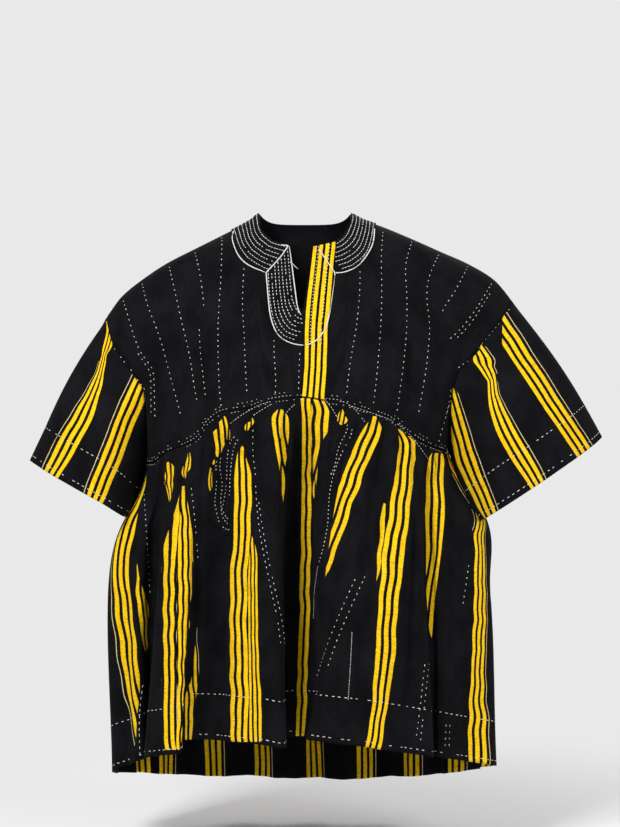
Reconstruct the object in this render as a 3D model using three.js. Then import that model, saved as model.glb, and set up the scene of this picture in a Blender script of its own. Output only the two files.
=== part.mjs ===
// A worn hand-woven cotton smock: boxy yoke in two panels, two short sleeves, a long gathered skirt in two panels,
// a stitched facing round the neck and its slit, a striped strip beside the slit, and two pocket facings.
// Millimetres, +Z up, front towards -Y. The origin lies between the shoulders, at the height of the neck's sides.
import * as THREE from "three";

const CLOTH = 2.0; // wall of the hand-woven body cloth
const TRIM = 1.2; // wall of what is sewn on top of it
const SEAM = 0.3; // gap between two pieces at a seam
const GATHER_SEAM = 0.45; // the gap along the curved gather seam, measured down the cloth
const LIFT = 1.2; // a sewn-on piece's underside above the cloth that carries it

const NECK_HALF = 72; // half the neck opening's width
const NECK_BACK_RISE = 30; // how far the back of the neck would rise over its sides, before it is cut
const BACK_NECK_DROP = 12; // the back neckline, below the origin
const SHOULDER_ROUND = 70; // drop over which the cloth turns from the shoulder ridge to the chest
const FRONT_SHOULDER = 62; // half depth of the front there
const BACK_SHOULDER = 64;
const FRONT_SEAM_DEPTH = 138; // depth of the gather seam at the middle of the front
const BACK_SEAM_DEPTH = 126;
const CHEST_SWELL = 1.3; // how late the yoke's depth grows below the shoulders
const SEAM_MIDDLE = -12.5; // x of the gather seam's middle
const SEAM_HALF = 240.5; // half its width
const ROUNDNESS = 2.4; // of the seam's plan, from ellipse (2) towards a box

const point = (x, y, z) => new THREE.Vector3(x, y, z);
const mix = (a, b, t) => a + (b - a) * t;
const clamp = (t) => Math.min(1, Math.max(0, t));
const ease = (t) => clamp(t) * clamp(t) * (3 - 2 * clamp(t));
const bell = (t) => (Math.abs(t) < 1 ? (1 + Math.cos(Math.PI * t)) / 2 : 0);

// A table is written as named columns and one row for each section or fold.
const table = (names, rows) =>
  rows.map((row) => Object.fromEntries(names.map((name, i) => [name, row[i]])));

// A monotone cubic through column `of` over column `by`, so that no curve swings past its rows.
function curve(rows, by, of) {
  const x = rows.map((row) => row[by]);
  const y = rows.map((row) => row[of]);
  const last = x.length - 1;
  const slope = x.slice(1).map((_, i) => (y[i + 1] - y[i]) / (x[i + 1] - x[i]));
  const tangent = x.map((_, i) => {
    if (i === 0) return slope[0];
    if (i === last) return slope[last - 1];
    return slope[i - 1] * slope[i] <= 0
      ? 0
      : (2 * slope[i - 1] * slope[i]) / (slope[i - 1] + slope[i]);
  });
  return (at) => {
    const t = Math.min(x[last], Math.max(x[0], at));
    let i = 0;
    while (i < last - 1 && t > x[i + 1]) i += 1;
    const h = x[i + 1] - x[i];
    const s = (t - x[i]) / h;
    return (
      y[i] * (1 + 2 * s) * (1 - s) ** 2 +
      tangent[i] * h * s * (1 - s) ** 2 +
      y[i + 1] * s * s * (3 - 2 * s) +
      tangent[i + 1] * h * s * s * (s - 1)
    );
  };
}

// A Catmull-Rom curve through column `of`, over the row number: it rounds a fold's crest and root.
function rolling(rows, of) {
  const y = rows.map((row) => row[of]);
  const last = y.length - 1;
  return (at) => {
    const i = Math.min(last - 1, Math.max(0, Math.floor(at)));
    const s = at - i;
    const a = y[i];
    const b = y[i + 1];
    const before = i > 0 ? y[i - 1] : 2 * a - b;
    const after = i + 2 <= last ? y[i + 2] : 2 * b - a;
    return (
      a +
      0.5 * s * (b - before + s * (2 * before - 5 * a + 4 * b - after + s * (3 * (a - b) + after - before)))
    );
  };
}

// ---- solids -------------------------------------------------------------------------------------------------------

// Unit normals of a grid of points, pointing to the side that `outward` gives.
function gridNormals(points, closed, outward) {
  const columns = points.length;
  const rows = points[0].length;
  return points.map((column, i) =>
    column.map((here, j) => {
      const left = closed ? (i + columns - 1) % columns : Math.max(0, i - 1);
      const right = closed ? (i + 1) % columns : Math.min(columns - 1, i + 1);
      const across = points[right][j].clone().sub(points[left][j]);
      const down = points[i][Math.min(rows - 1, j + 1)].clone().sub(points[i][Math.max(0, j - 1)]);
      return down.cross(across).normalize().multiplyScalar(outward);
    }),
  );
}

// A wall between two grids of the same size: closed at its rims, and joined end to end where `closed`.
function wallGeometry(outer, inner, closed, outward) {
  const columns = outer.length;
  const rows = outer[0].length;
  const positions = [...outer.flat(), ...inner.flat()].flatMap((p) => [p.x, p.y, p.z]);
  const faces = [];
  const at = (side, i, j) => side * columns * rows + (i % columns) * rows + j;
  const quad = (a, b, c, d) => faces.push(...(outward > 0 ? [a, b, c, a, c, d] : [a, c, b, a, d, c]));
  const spans = closed ? columns : columns - 1;
  for (let i = 0; i < spans; i += 1) {
    for (let j = 0; j < rows - 1; j += 1) {
      quad(at(0, i, j), at(0, i, j + 1), at(0, i + 1, j + 1), at(0, i + 1, j));
      quad(at(1, i, j), at(1, i + 1, j), at(1, i + 1, j + 1), at(1, i, j + 1));
    }
    quad(at(0, i, 0), at(0, i + 1, 0), at(1, i + 1, 0), at(1, i, 0));
    quad(at(0, i, rows - 1), at(1, i, rows - 1), at(1, i + 1, rows - 1), at(0, i + 1, rows - 1));
  }
  if (!closed)
    for (let j = 0; j < rows - 1; j += 1) {
      quad(at(0, 0, j), at(1, 0, j), at(1, 0, j + 1), at(0, 0, j + 1));
      quad(at(0, columns - 1, j), at(0, columns - 1, j + 1), at(1, columns - 1, j + 1), at(1, columns - 1, j));
    }
  const geometry = new THREE.BufferGeometry();
  geometry.setAttribute("position", new THREE.Float32BufferAttribute(positions, 3));
  geometry.setIndex(faces);
  return geometry;
}

// Cloth whose outside is `points`; `rim(i, j)` may give the direction of its thickness along a seam.
function cloth(points, { thickness = CLOTH, closed = false, outward = 1, rim = () => null, lift = 0 }) {
  const normals = gridNormals(points, closed, outward);
  const outer = points.map((column, i) =>
    column.map((p, j) => p.clone().addScaledVector(normals[i][j], lift > 0 ? lift + thickness : 0)),
  );
  const inner = points.map((column, i) =>
    column.map((p, j) => {
      if (lift > 0) return p.clone().addScaledVector(normals[i][j], lift);
      return p.clone().addScaledVector(rim(i, j, normals[i][j]) ?? normals[i][j], -thickness);
    }),
  );
  return wallGeometry(outer, inner, closed, outward);
}

const group = new THREE.Group();
const black = { color: 0x1a1a1d, roughness: 0.93, metalness: 0 };
const yellow = { color: 0xf0c51f, roughness: 0.9, metalness: 0 };

function add(name, geometry, look) {
  geometry.computeVertexNormals();
  const mesh = new THREE.Mesh(geometry, new THREE.MeshStandardMaterial({ ...look, name }));
  mesh.name = name;
  group.add(mesh);
}

// ---- the yoke's outlines --------------------------------------------------------------------------------------------

// The shoulder ridge, from the left shoulder's end over the neck's two sides to the right one.
const ridgeRows = table(["x", "z"], [
  [-316, -163], [-293, -132], [-256, -102], [-221, -79], [-176, -56], [-134, -35], [-86, -10], [-72, 0],
  [72, 0], [91, -9], [125, -21], [171, -40], [216, -60], [261, -80], [302, -105], [325, -131], [330, -138],
]);
const ridge = curve(ridgeRows, "x", "z");

// The front neckline with its slit, which a running x can follow.
const neckRows = table(["x", "z"], [
  [-72, 0], [-69, -26], [-62, -37], [-50, -47], [-38, -50.5], [-24, -54], [-21, -85], [-16, -141], [-4, -161],
  [0, -141], [6, -100], [12, -57], [27, -53], [46, -49], [60, -38], [70, -22], [72, 0],
]);
const neckline = (x) => {
  const i = Math.max(0, neckRows.findIndex((row) => row.x > x) - 1);
  const a = neckRows[i];
  const b = neckRows[i + 1];
  return mix(a.z, b.z, (x - a.x) / (b.x - a.x));
};

// Where the threads that leave the ridge at `top` reach the gather seam.
const threadRows = table(["top", "seam"], [
  [-316, -253], [-291, -226], [-261, -192], [-218, -165], [-176, -146], [-133, -125], [-100, -92], [-60, -56],
  [-4, -5], [12, 10], [60, 50], [88, 70], [125, 103], [171, 140], [214, 172], [261, 200], [299, 217], [330, 228],
]);
const threadSeam = curve(threadRows, "top", "seam");

// Each armhole's front edge, over the share of the drop from the shoulder to the armpit.
const armholeRows = {
  left: table(["drop", "x", "depth"], [
    [0, -316, 0], [0.04, -315, 20], [0.1, -311, 34], [0.18, -305, 46], [0.29, -290, 57], [0.39, -273, 62],
    [0.52, -253, 66], [0.67, -249, 60], [0.83, -249, 44], [0.95, -251, 20], [1, -253, 1.5],
  ]),
  right: table(["drop", "x", "depth"], [
    [0, 330, 0], [0.06, 322, 20], [0.12, 313, 32], [0.18, 302, 42], [0.26, 285, 54], [0.4, 257, 62],
    [0.5, 238, 66], [0.65, 229, 62], [0.82, 226, 46], [0.95, 227, 20], [1, 228, 1.5],
  ]),
};
const armholes = Object.fromEntries(
  Object.entries(armholeRows).map(([side, rows]) => [
    side,
    { x: curve(rows, "drop", "x"), depth: curve(rows, "drop", "depth"), top: rows[0].x, seam: rows.at(-1).x },
  ]),
);

// The gather seam arches from armpit to armpit, higher in front.
const frontSeamRows = table(["x", "z"], [
  [-253, -397], [-240, -396], [-215, -379], [-180, -366], [-163, -355], [-150, -333], [-127, -317], [-85, -310],
  [-56, -300], [-10, -294], [28, -299], [56, -302], [82, -310], [127, -325], [155, -345], [182, -363], [207, -373],
  [228, -380],
]);
const backSeamRows = table(["x", "z"], [
  [-253, -397], [-200, -372], [-130, -338], [-50, -322], [30, -320], [110, -334], [180, -362], [228, -380],
]);

const faces = {
  front: {
    side: -1, shoulder: FRONT_SHOULDER, depth: FRONT_SEAM_DEPTH, seamZ: curve(frontSeamRows, "x", "z"),
    top: (x) => (Math.abs(x) < NECK_HALF ? neckline(x) : ridge(x)),
    rise: () => 0,
  },
  back: {
    side: 1, shoulder: BACK_SHOULDER, depth: BACK_SEAM_DEPTH, seamZ: curve(backSeamRows, "x", "z"),
    top: (x) => (Math.abs(x) < NECK_HALF ? -BACK_NECK_DROP * (1 - (x / NECK_HALF) ** 6) : ridge(x)),
    rise: (x) => (Math.abs(x) < NECK_HALF ? NECK_BACK_RISE * (1 - (x / NECK_HALF) ** 2) : 0),
  },
};

const plan = (x) => (1 - Math.min(1, Math.abs((x - SEAM_MIDDLE) / SEAM_HALF)) ** ROUNDNESS) ** (1 / ROUNDNESS);

// The yoke's outside: the thread that leaves the ridge at `top`, at the share `v` of its way to the gather seam.
function yoke(face, top, v) {
  const { side, shoulder, depth, seamZ, rise } = faces[face];
  const hole = armholes[top < 0 ? "left" : "right"];
  const seamX = threadSeam(top);
  const z = mix(faces[face].top(top), seamZ(seamX), v);
  const edge = (hole.x(v) - hole.seam) / (hole.top - hole.seam);
  const inside = ease(Math.abs(top - hole.top) / 130);
  const x = seamX + (top - seamX) * mix(edge, 1 - v, inside);
  const start = Math.abs(top) < NECK_HALF ? rise(top) : ridge(top);
  const drop = start - z;
  const over = Math.sqrt(1 - (1 - Math.min(1, drop / SHOULDER_ROUND)) ** 2);
  const below = clamp((drop - SHOULDER_ROUND) / (start - seamZ(seamX) - SHOULDER_ROUND));
  const middle = shoulder * over + (depth - shoulder) * below ** CHEST_SWELL;
  const rounded = plan(seamX);
  return point(x, side * Math.max(SEAM / 2, mix(hole.depth(v), middle, rounded)), z);
}

// The gather seam at x, on the straight stretches between the yoke's threads, and the level direction out of it.
function seamPoint(face, x) {
  const { side, depth, seamZ } = faces[face];
  const at = (seamX) => point(seamX, side * Math.max(SEAM / 2, mix(1.5, depth, plan(seamX))), seamZ(seamX));
  const nodes = seamNodes[face];
  const i = Math.min(nodes.length - 2, Math.max(0, nodes.findLastIndex((node) => node <= x)));
  return at(nodes[i]).lerp(at(nodes[i + 1]), clamp((x - nodes[i]) / (nodes[i + 1] - nodes[i])));
}
function seamOut(face, x) {
  const step = 4;
  const a = seamPoint(face, Math.max(SEAM_MIDDLE - SEAM_HALF, x - step));
  const b = seamPoint(face, Math.min(SEAM_MIDDLE + SEAM_HALF, x + step));
  const along = b.sub(a).setZ(0).normalize();
  return point(along.y, -along.x, 0).multiplyScalar(faces[face].side < 0 ? 1 : -1);
}
// On the ridge, the thickness lies in the plane of the shoulder seam.
function ridgeUp(x) {
  const along = point(2, 0, ridge(x + 1) - ridge(x - 1)).normalize();
  return point(-along.z, 0, along.x);
}

const yokeColumns = {
  front: [-316, -304, -288, -270, -250, -230, -208, -186, -164, -142, -120, -98, -84, -72, -70.4, -67, -61, -50, -37,
    -24, -21, -16, -10, -4, -2, 0, 3, 6, 9, 12, 20, 30, 40, 50, 60, 67, 70.8, 72, 86, 102, 122, 144, 166, 188, 210,
    232, 254, 274, 292, 308, 320, 330],
  back: [-316, -300, -280, -256, -230, -204, -176, -148, -120, -94, -72, -69, -62, -50, -34, -17, 0, 17, 34, 50, 62,
    69, 72, 94, 122, 150, 178, 206, 234, 260, 284, 304, 320, 330],
};
const seamNodes = Object.fromEntries(
  Object.entries(yokeColumns).map(([face, tops]) => [face, tops.map((top) => threadSeam(top))]),
);
const YOKE_ROWS = 13;
const yokeShares = Array.from({ length: YOKE_ROWS + 1 }, (_, j) => (j / YOKE_ROWS) ** 1.35);

// The direction of the cloth's thickness round an armhole, shared by the yoke and the sleeve.
function armholeOut(side, face, v, onEdge = false) {
  const a = yoke(face, armholes[side].top, Math.max(0, v - 0.03));
  const b = yoke(face, armholes[side].top, Math.min(1, v + 0.03));
  const along = b.sub(a).normalize();
  const away = point(side === "left" ? -1 : 1, 0, 0.35);
  const level = point(0, faces[face].side, 0);
  const out = v < 0.5 ? away.clone().lerp(level, ease(v / 0.5)) : level.clone().lerp(point(0, 0, -1), ease((v - 0.5) / 0.5));
  if (v > 0 && !onEdge) out.addScaledVector(along, -out.dot(along));
  return out.normalize();
}

function yokePanel(face) {
  const tops = yokeColumns[face];
  const last = tops.length - 1;
  const points = tops.map((top) =>
    yokeShares.map((v) => {
      const p = yoke(face, top, v);
      if (v === 1) p.z += GATHER_SEAM / 2;
      return p;
    }),
  );
  // The edge at each armhole stands back by half the seam's gap.
  for (const [i, next] of [[0, 1], [last, last - 1]])
    points[i] = points[i].map((p, j) => p.clone().lerp(points[next][j], (1.5 * SEAM) / p.distanceTo(points[next][j])));
  return cloth(points, {
    outward: face === "front" ? 1 : -1,
    rim: (i, j) => {
      if (i === 0 || i === last) return armholeOut(i ? "right" : "left", face, yokeShares[j]);
      if (j === YOKE_ROWS) return seamOut(face, threadSeam(tops[i]));
      if (j === 0 && Math.abs(tops[i]) >= NECK_HALF) return ridgeUp(tops[i]);
      return null;
    },
  });
}
add("front_bodice", yokePanel("front"), black);
add("back_bodice", yokePanel("back"), black);

// ---- sleeves --------------------------------------------------------------------------------------------------------

const SLEEVE_ROWS = 8;
// Each cuff is an oval from its outer tip to its lower corner, `half` deep to either side.
const cuffs = {
  left: { tip: point(-436, -6, -393), corner: point(-279, -70, -479), half: 72, full: 9 },
  right: { tip: point(471, -6, -357), corner: point(279, -72, -484), half: 62, full: 9 },
};

function sleeve(side) {
  const { tip, corner, half, full } = cuffs[side];
  const middle = tip.clone().lerp(corner, 0.5);
  const long = tip.clone().sub(middle);
  const top = yoke("front", armholes[side].top, 0);
  const axis = middle.clone().sub(top.clone().lerp(yoke("front", armholes[side].top, 1), 0.5)).normalize();
  const deep = axis.clone().cross(long).normalize();
  if (deep.y > 0) deep.negate();
  // Round the armhole: down its front edge, then up its back edge, at the yoke's own rows.
  const ring = [
    ...yokeShares.map((v) => ({ face: "front", v, turn: Math.acos(1 - 2 * v) })),
    ...yokeShares.slice(1, -1).reverse().map((v) => ({ face: "back", v, turn: 2 * Math.PI - Math.acos(1 - 2 * v) })),
  ];
  ring[YOKE_ROWS].low = true;
  const points = ring.map(({ face, v, turn, low }) => {
    const start = yoke(face, armholes[side].top, v);
    if (v === 0 || low) start.y = 0;
    const end = middle
      .clone()
      .addScaledVector(long, Math.cos(turn))
      .addScaledVector(deep, half * Math.sin(turn) * (1 - 0.12 * Math.cos(turn)));
    return Array.from({ length: SLEEVE_ROWS + 1 }, (_, j) => {
      const s = (j / SLEEVE_ROWS) ** 1.1;
      const p = start.clone().lerp(end, s);
      const swell = Math.sin(Math.PI * s) * full;
      p.addScaledVector(deep, swell * Math.sin(turn) * 1.6);
      p.addScaledVector(long.clone().normalize(), swell * Math.cos(turn) * (turn < Math.PI / 2 || turn > 1.5 * Math.PI ? 0.7 : 0.2));
      if (j === 0) p.addScaledVector(end.clone().sub(start).normalize(), SEAM + (low ? 1.2 : 0.6));
      return p;
    });
  });
  return cloth(points, {
    closed: true,
    outward: side === "left" ? 1 : -1,
    rim: (i, j) => (j === 0 ? armholeOut(side, ring[i].face, ring[i].v, ring[i].low) : null),
  });
}
add("sleeve_left", sleeve("left"), black);
add("sleeve_right", sleeve("right"), black);

// ---- the gathered skirt ---------------------------------------------------------------------------------------------

const MIDDLE_Z = -575; // the level of the folds' middle columns
// One row for each crest, flank or root of a front fold: where it leaves the gather seam, where it is half way down,
// and where it reaches the hem. y is its depth there.
const foldRows = table(["topX", "midX", "midY", "hemX", "hemY", "hemZ"], [
  [-253, -311, 0, -321, 0, -895],
  [-250, -301, -60, -311, -60, -878],
  [-244, -276, -95, -283, -100, -864],
  [-234, -254, -105, -253, -112, -854],
  [-224, -238, -92, -236, -92, -853],
  [-216, -230, -115, -243, -122, -847],
  [-206, -222, -135, -245, -148, -843],
  [-194, -202, -152, -219, -172, -837],
  [-174, -178, -155, -185, -186, -830],
  [-156, -165, -135, -190, -158, -817],
  [-128, -136, -135, -154, -145, -819],
  [-110, -115, -155, -112, -165, -818],
  [-78, -74, -170, -64, -184, -819],
  [-52, -44, -168, -33, -186, -824],
  [-32, -29, -148, -24, -158, -821],
  [-6, -9, -128, -12, -142, -816],
  [18, 8, -134, 17, -136, -817],
  [37, 13, -150, 48, -148, -815],
  [67, 25, -172, 43, -164, -813],
  [90, 49, -184, 14, -178, -811],
  [100, 61, -187, 3, -190, -810],
  [121, 86, -190, 45, -204, -814],
  [140, 110, -186, 92, -202, -820],
  [158, 149, -172, 125, -196, -826],
  [172, 166, -160, 162, -182, -833],
  [182, 182, -146, 193, -160, -841],
  [192, 189, -126, 199, -126, -848],
  [205, 206, -125, 209, -128, -848],
  [213, 234, -108, 244, -100, -857],
  [221, 265, -70, 281, -62, -869],
  [228, 287, 0, 302, 0, -881],
]);
const fold = Object.fromEntries(Object.keys(foldRows[0]).map((name) => [name, rolling(foldRows, name)]));
const FOLDS = foldRows.length - 1;

const GATHERS = 22; // small puckers right under the gather seam, on each panel
const GATHER_DEPTH = 3.2;
const GATHER_AT = 0.07; // their deepest place, as a share of the way to the hem

// From the seam through the folds' middle to the hem, as two cubic spans.
function hanging(top, middle, hem, share, w) {
  const sweep = hem.clone().sub(top);
  const [a, b, from, to, s] =
    w < share
      ? [top, middle, middle.clone().sub(top).multiplyScalar(1.15), sweep.clone().multiplyScalar(share), w / share]
      : [middle, hem, sweep.clone().multiplyScalar(1 - share), hem.clone().sub(middle), (w - share) / (1 - share)];
  return point(0, 0, 0)
    .addScaledVector(a, (1 + 2 * s) * (1 - s) ** 2)
    .addScaledVector(from, s * (1 - s) ** 2)
    .addScaledVector(b, s * s * (3 - 2 * s))
    .addScaledVector(to, s * s * (s - 1));
}

// The skirt's sides are pressed in under the sleeves, and stand out again below them.
const tuckRows = table(["side", "from", "to", "z", "half", "in"], [[-1, 165, 245, -446, 68, 19], [1, 165, 225, -440, 60, 6]]);
function tucked(p) {
  for (const { side, from, to, z, half, in: inward } of tuckRows)
    p.x -= side * inward * bell((p.z - z) / half) * ease((side * p.x - from) / (to - from));
  return p;
}

const pucker = (w) => (w / GATHER_AT) * Math.exp(1 - w / GATHER_AT);

// The front panel's outside at fold row `k` and the share `w` of the way down.
function frontSkirt(k, w, x = fold.topX(k)) {
  const top = seamPoint("front", x);
  top.z -= GATHER_SEAM / 2;
  const end = k === 0 || k === FOLDS;
  const middle = point(fold.midX(k), fold.midY(k), MIDDLE_Z);
  const hem = point(fold.hemX(k), fold.hemY(k), fold.hemZ(k));
  const p = hanging(top, middle, hem, 0.5, w);
  const edge = ease(Math.min(k, FOLDS - k) / 2);
  p.addScaledVector(seamOut("front", x), edge * GATHER_DEPTH * pucker(w) * Math.sin((2 * Math.PI * GATHERS * k) / FOLDS));
  if (end) p.y = -SEAM / 2;
  return tucked(p);
}

// The back panel hangs from its seam to an oval hem, with one row for each fold: where it starts along the seam,
// where it ends along the hem (both as shares from left to right), how far it stands out and its half width.
const backFoldRows = table(["top", "hem", "out", "half"], [
  [0.09, 0.07, 15, 0.045], [0.2, 0.17, 26, 0.05], [0.3, 0.29, 20, 0.045], [0.41, 0.4, 30, 0.055],
  [0.52, 0.53, 22, 0.045], [0.62, 0.64, 29, 0.05], [0.73, 0.745, 19, 0.042], [0.83, 0.84, 27, 0.05],
  [0.92, 0.93, 14, 0.04],
]);
const BACK_HEM_DEPTH = 160;
const backHemRows = table(["at", "z"], [
  [0, -895], [0.15, -908], [0.35, -926], [0.55, -933], [0.75, -918], [0.9, -895], [1, -881],
]);
const backHem = curve(backHemRows, "at", "z");

function backSkirt(u, w, x = mix(foldRows[0].topX, foldRows[FOLDS].topX, u)) {
  const [left, right] = [foldRows[0], foldRows[FOLDS]];
  const top = seamPoint("back", x);
  top.z -= GATHER_SEAM / 2;
  const turn = Math.PI * u;
  const oval = (from, to, depth, z) => {
    const reach = (to - from) / 2;
    return point((from + to) / 2 - reach * Math.cos(turn), depth * Math.sin(turn) ** 0.9, z);
  };
  const middle = oval(left.midX, right.midX, BACK_HEM_DEPTH * 0.94, MIDDLE_Z);
  const hem = oval(left.hemX, right.hemX, BACK_HEM_DEPTH, backHem(u));
  const p = hanging(top, middle, hem, 0.5, w);
  const out = point(-Math.cos(turn), Math.sin(turn), 0);
  const grown = ease(w / 0.4) * mix(0.75, 1, w);
  const edge = ease(Math.min(u, 1 - u) / 0.05);
  for (const row of backFoldRows) {
    const near = (u - mix(row.top, row.hem, w)) / row.half;
    p.addScaledVector(out, row.out * grown * (bell(near) - 0.35 * bell(near / 1.6)));
  }
  p.addScaledVector(out, edge * GATHER_DEPTH * pucker(w) * Math.sin(2 * Math.PI * GATHERS * u));
  if (u === 0 || u === 1) p.y = SEAM / 2;
  return tucked(p);
}

const skirtShares = [0, 0.035, 0.075, 0.13, 0.2, 0.29, 0.39, 0.5, 0.62, 0.75, 0.88, 1];
const FRONT_COLUMNS = 104;
const BACK_COLUMNS = 80;

function skirtPanel(face, count, outside) {
  // Each of the yoke's seam nodes is met by the skirt column nearest to it, so that the two edges run side by side.
  const tops = Array.from({ length: count + 1 }, (_, i) => outside(i / count, 0).x);
  const own = [...tops];
  for (const node of seamNodes[face]) {
    const nearest = own.reduce((best, x, i) => (Math.abs(x - node) < Math.abs(own[best] - node) ? i : best), 0);
    tops[nearest] = node;
  }
  const points = tops.map((top, i) => skirtShares.map((w) => outside(i / count, w, top)));
  return cloth(points, {
    outward: face === "front" ? 1 : -1,
    rim: (i, j, normal) => {
      const at = points[i][0].x;
      if (i === 0 || i === count) return point(i ? 1 : -1, 0, 0);
      if (j === 0) return seamOut(face, at);
      return normal;
    },
  });
}
add("front_skirt", skirtPanel("front", FRONT_COLUMNS, (t, w, x) => frontSkirt(t * FOLDS, w, x)), black);
add("back_skirt", skirtPanel("back", BACK_COLUMNS, backSkirt), black);

// ---- what is sewn on top --------------------------------------------------------------------------------------------

// The yoke's outside at a place given by x and z, as the thread and share that pass there.
function onYoke(face, x, z) {
  let low = -316;
  let high = 330;
  let share = 0;
  for (let step = 0; step < 40; step += 1) {
    const top = (low + high) / 2;
    const from = faces[face].top(top);
    share = clamp((z - from) / (faces[face].seamZ(threadSeam(top)) - from));
    if (yoke(face, top, share).x < x) low = top;
    else high = top;
  }
  return yoke(face, (low + high) / 2, share);
}

// The neck facing follows the neckline and the slit: its inner edge and its outer edge, from the left shoulder round
// the front to the right one, and on round the back.
const facingFront = table(["inX", "inZ", "outX", "outZ"], [
  [-73, -1, -117, -27], [-73, -2.5, -116.5, -28.5], [-73, -7, -115, -33], [-72, -14, -112, -42], [-71.5, -20, -109, -52],
  [-70, -27, -105, -62], [-67.5, -33, -99, -70.5], [-64, -38, -93, -78], [-51, -48.5, -79, -88],
  [-39, -52, -69, -94], [-26, -55, -61, -98], [-24, -66, -61, -108], [-22.5, -85, -60, -125], [-20.5, -110, -58, -150],
  [-17.5, -139, -53, -175], [-12, -153, -45, -193], [-7.5, -160.5, -34, -204], [-4.4, -163, -18, -210],
  [-1.5, -161, 3, -214], [0, -153, 17, -206], [1.2, -143, 28, -195], [3.4, -130, 35, -181], [5.6, -113, 39, -160],
  [8, -95, 42, -136], [11, -76, 45, -115], [13.4, -59, 47, -101], [25, -55.5, 61, -97], [37, -53, 78, -91],
  [49, -50, 91, -80], [55.5, -45.5, 96.5, -74.5],
  [61, -40, 101, -68], [66, -33, 104.5, -59], [69, -25, 107, -50], [71, -19, 109, -41], [72.4, -14, 110, -33], [73, -7, 112, -23.5], [73, -2.5, 112.5, -18.5],
  [73, -1, 112.5, -17],
]);
const facingBack = table(["inX", "inZ", "outX", "outZ"], [
  [73, -2.5, 112.5, -18.5], [73, -7, 112, -23.5], [72.5, -12.5, 110, -32], [69.5, -13.5, 105, -39.5], [66, -14, 98, -46],
  [60, -14, 86, -54], [52, -14, 72, -60], [41, -14, 56, -62.5], [30, -14, 40, -64], [15, -14, 20, -65.5], [0, -14, 0, -66],
  [-15, -14, -20, -65.5], [-30, -14, -40, -64], [-41, -14, -57, -62.5], [-52, -14, -74, -60], [-60, -14, -89, -56],
  [-66, -14, -102, -50], [-70, -13.5, -108, -45], [-72.5, -12.5, -113, -40],
  [-73, -7, -115, -33], [-73, -2.5, -116.5, -28.5],
]);
const FACING_ACROSS = 5;

function neckFacing() {
  const rows = [...facingFront.map((row) => ({ ...row, face: "front" })), ...facingBack.map((row) => ({ ...row, face: "back" }))];
  const points = rows.map(({ inX, inZ, outX, outZ, face }) =>
    Array.from({ length: FACING_ACROSS + 1 }, (_, j) => {
      const t = j / FACING_ACROSS;
      return onYoke(face, mix(inX, outX, t), mix(inZ, outZ, t));
    }),
  );
  return cloth(points, { closed: true, thickness: TRIM, lift: LIFT, outward: 1 });
}
add("neck_facing", neckFacing(), black);

// The striped strip beside the slit, from the neckline to the gather seam, over the facing and then on the yoke.
const stripRows = table(["z", "left", "right"], [
  [-58, 13, 48], [-80, 10.5, 45.5], [-100, 8, 43.5], [-130, 4.5, 41], [-158, 2, 39], [-178, -1, 36.5],
  [-196, -3.5, 34], [-213, -5, 32.5], [-224, -6, 31.5], [-232, -6, 31], [-242, -6, 31], [-255, -6, 31],
  [-275, -6, 31], [-294.5, -6, 31],
]);
const STRIP_ACROSS = 4;
const OVER_FACING = LIFT + TRIM; // the strip's rise where the facing lies under it
const FACING_END = -219; // the strip comes down to the yoke below this level
const STRIP_SETTLES = 12;

function placketStrip() {
  const count = STRIP_ACROSS + 1;
  const points = Array.from({ length: count }, (_, i) =>
    stripRows.map(({ z, left, right }, j) => {
      const x = mix(left, right, i / STRIP_ACROSS);
      const height = j === 0 ? z + 0.22 * (x - left) : j === stripRows.length - 1 ? faces.front.seamZ(x) + 2 : z;
      return onYoke("front", x, height);
    }),
  );
  const normals = gridNormals(points, false, 1);
  const raised = points.map((column, i) =>
    column.map((p, j) => {
      const over = 1 - ease((FACING_END - p.z) / STRIP_SETTLES);
      return p.addScaledVector(normals[i][j], OVER_FACING * over);
    }),
  );
  return cloth(raised, { thickness: TRIM, lift: LIFT });
}
add("placket_strip", placketStrip(), yellow);

// A pocket facing is a narrow patch with a round lower end, laid on the front skirt under the seam. It is given by
// the fold rows at its two edges, at its top and bottom, and by its ends down the skirt.
const pocketRows = table(["name", "left", "right", "top", "bottom", "drift"], [
  ["pocket_facing_left", 9.4, 10.7, 0.05, 0.36, 0.15], ["pocket_facing_right", 16.6, 18.2, 0.05, 0.36, 0.0],
]);
const POCKET_LIFT = 1.5; // more than LIFT, for the folds' faceted crests
const POCKET_ACROSS = 6;
const POCKET_DOWN = 10;

function pocketFacing({ left, right, top, bottom, drift }) {
  const middle = (left + right) / 2;
  const half = (right - left) / 2;
  const points = Array.from({ length: POCKET_ACROSS + 1 }, (_, i) =>
    Array.from({ length: POCKET_DOWN + 1 }, (_, j) => {
      const t = j / POCKET_DOWN;
      const round = 1 - 0.82 * clamp((t - 0.8) / 0.2) ** 2;
      const k = middle + drift * t + half * round * mix(-1, 1, i / POCKET_ACROSS);
      return frontSkirt(k, mix(top, bottom, t));
    }),
  );
  return cloth(points, { thickness: TRIM, lift: POCKET_LIFT });
}
for (const row of pocketRows) add(row.name, pocketFacing(row), black);

export default group;
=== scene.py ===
import math

import bpy
import numpy as np
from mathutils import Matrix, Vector
from mathutils.bvhtree import BVHTree


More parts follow.
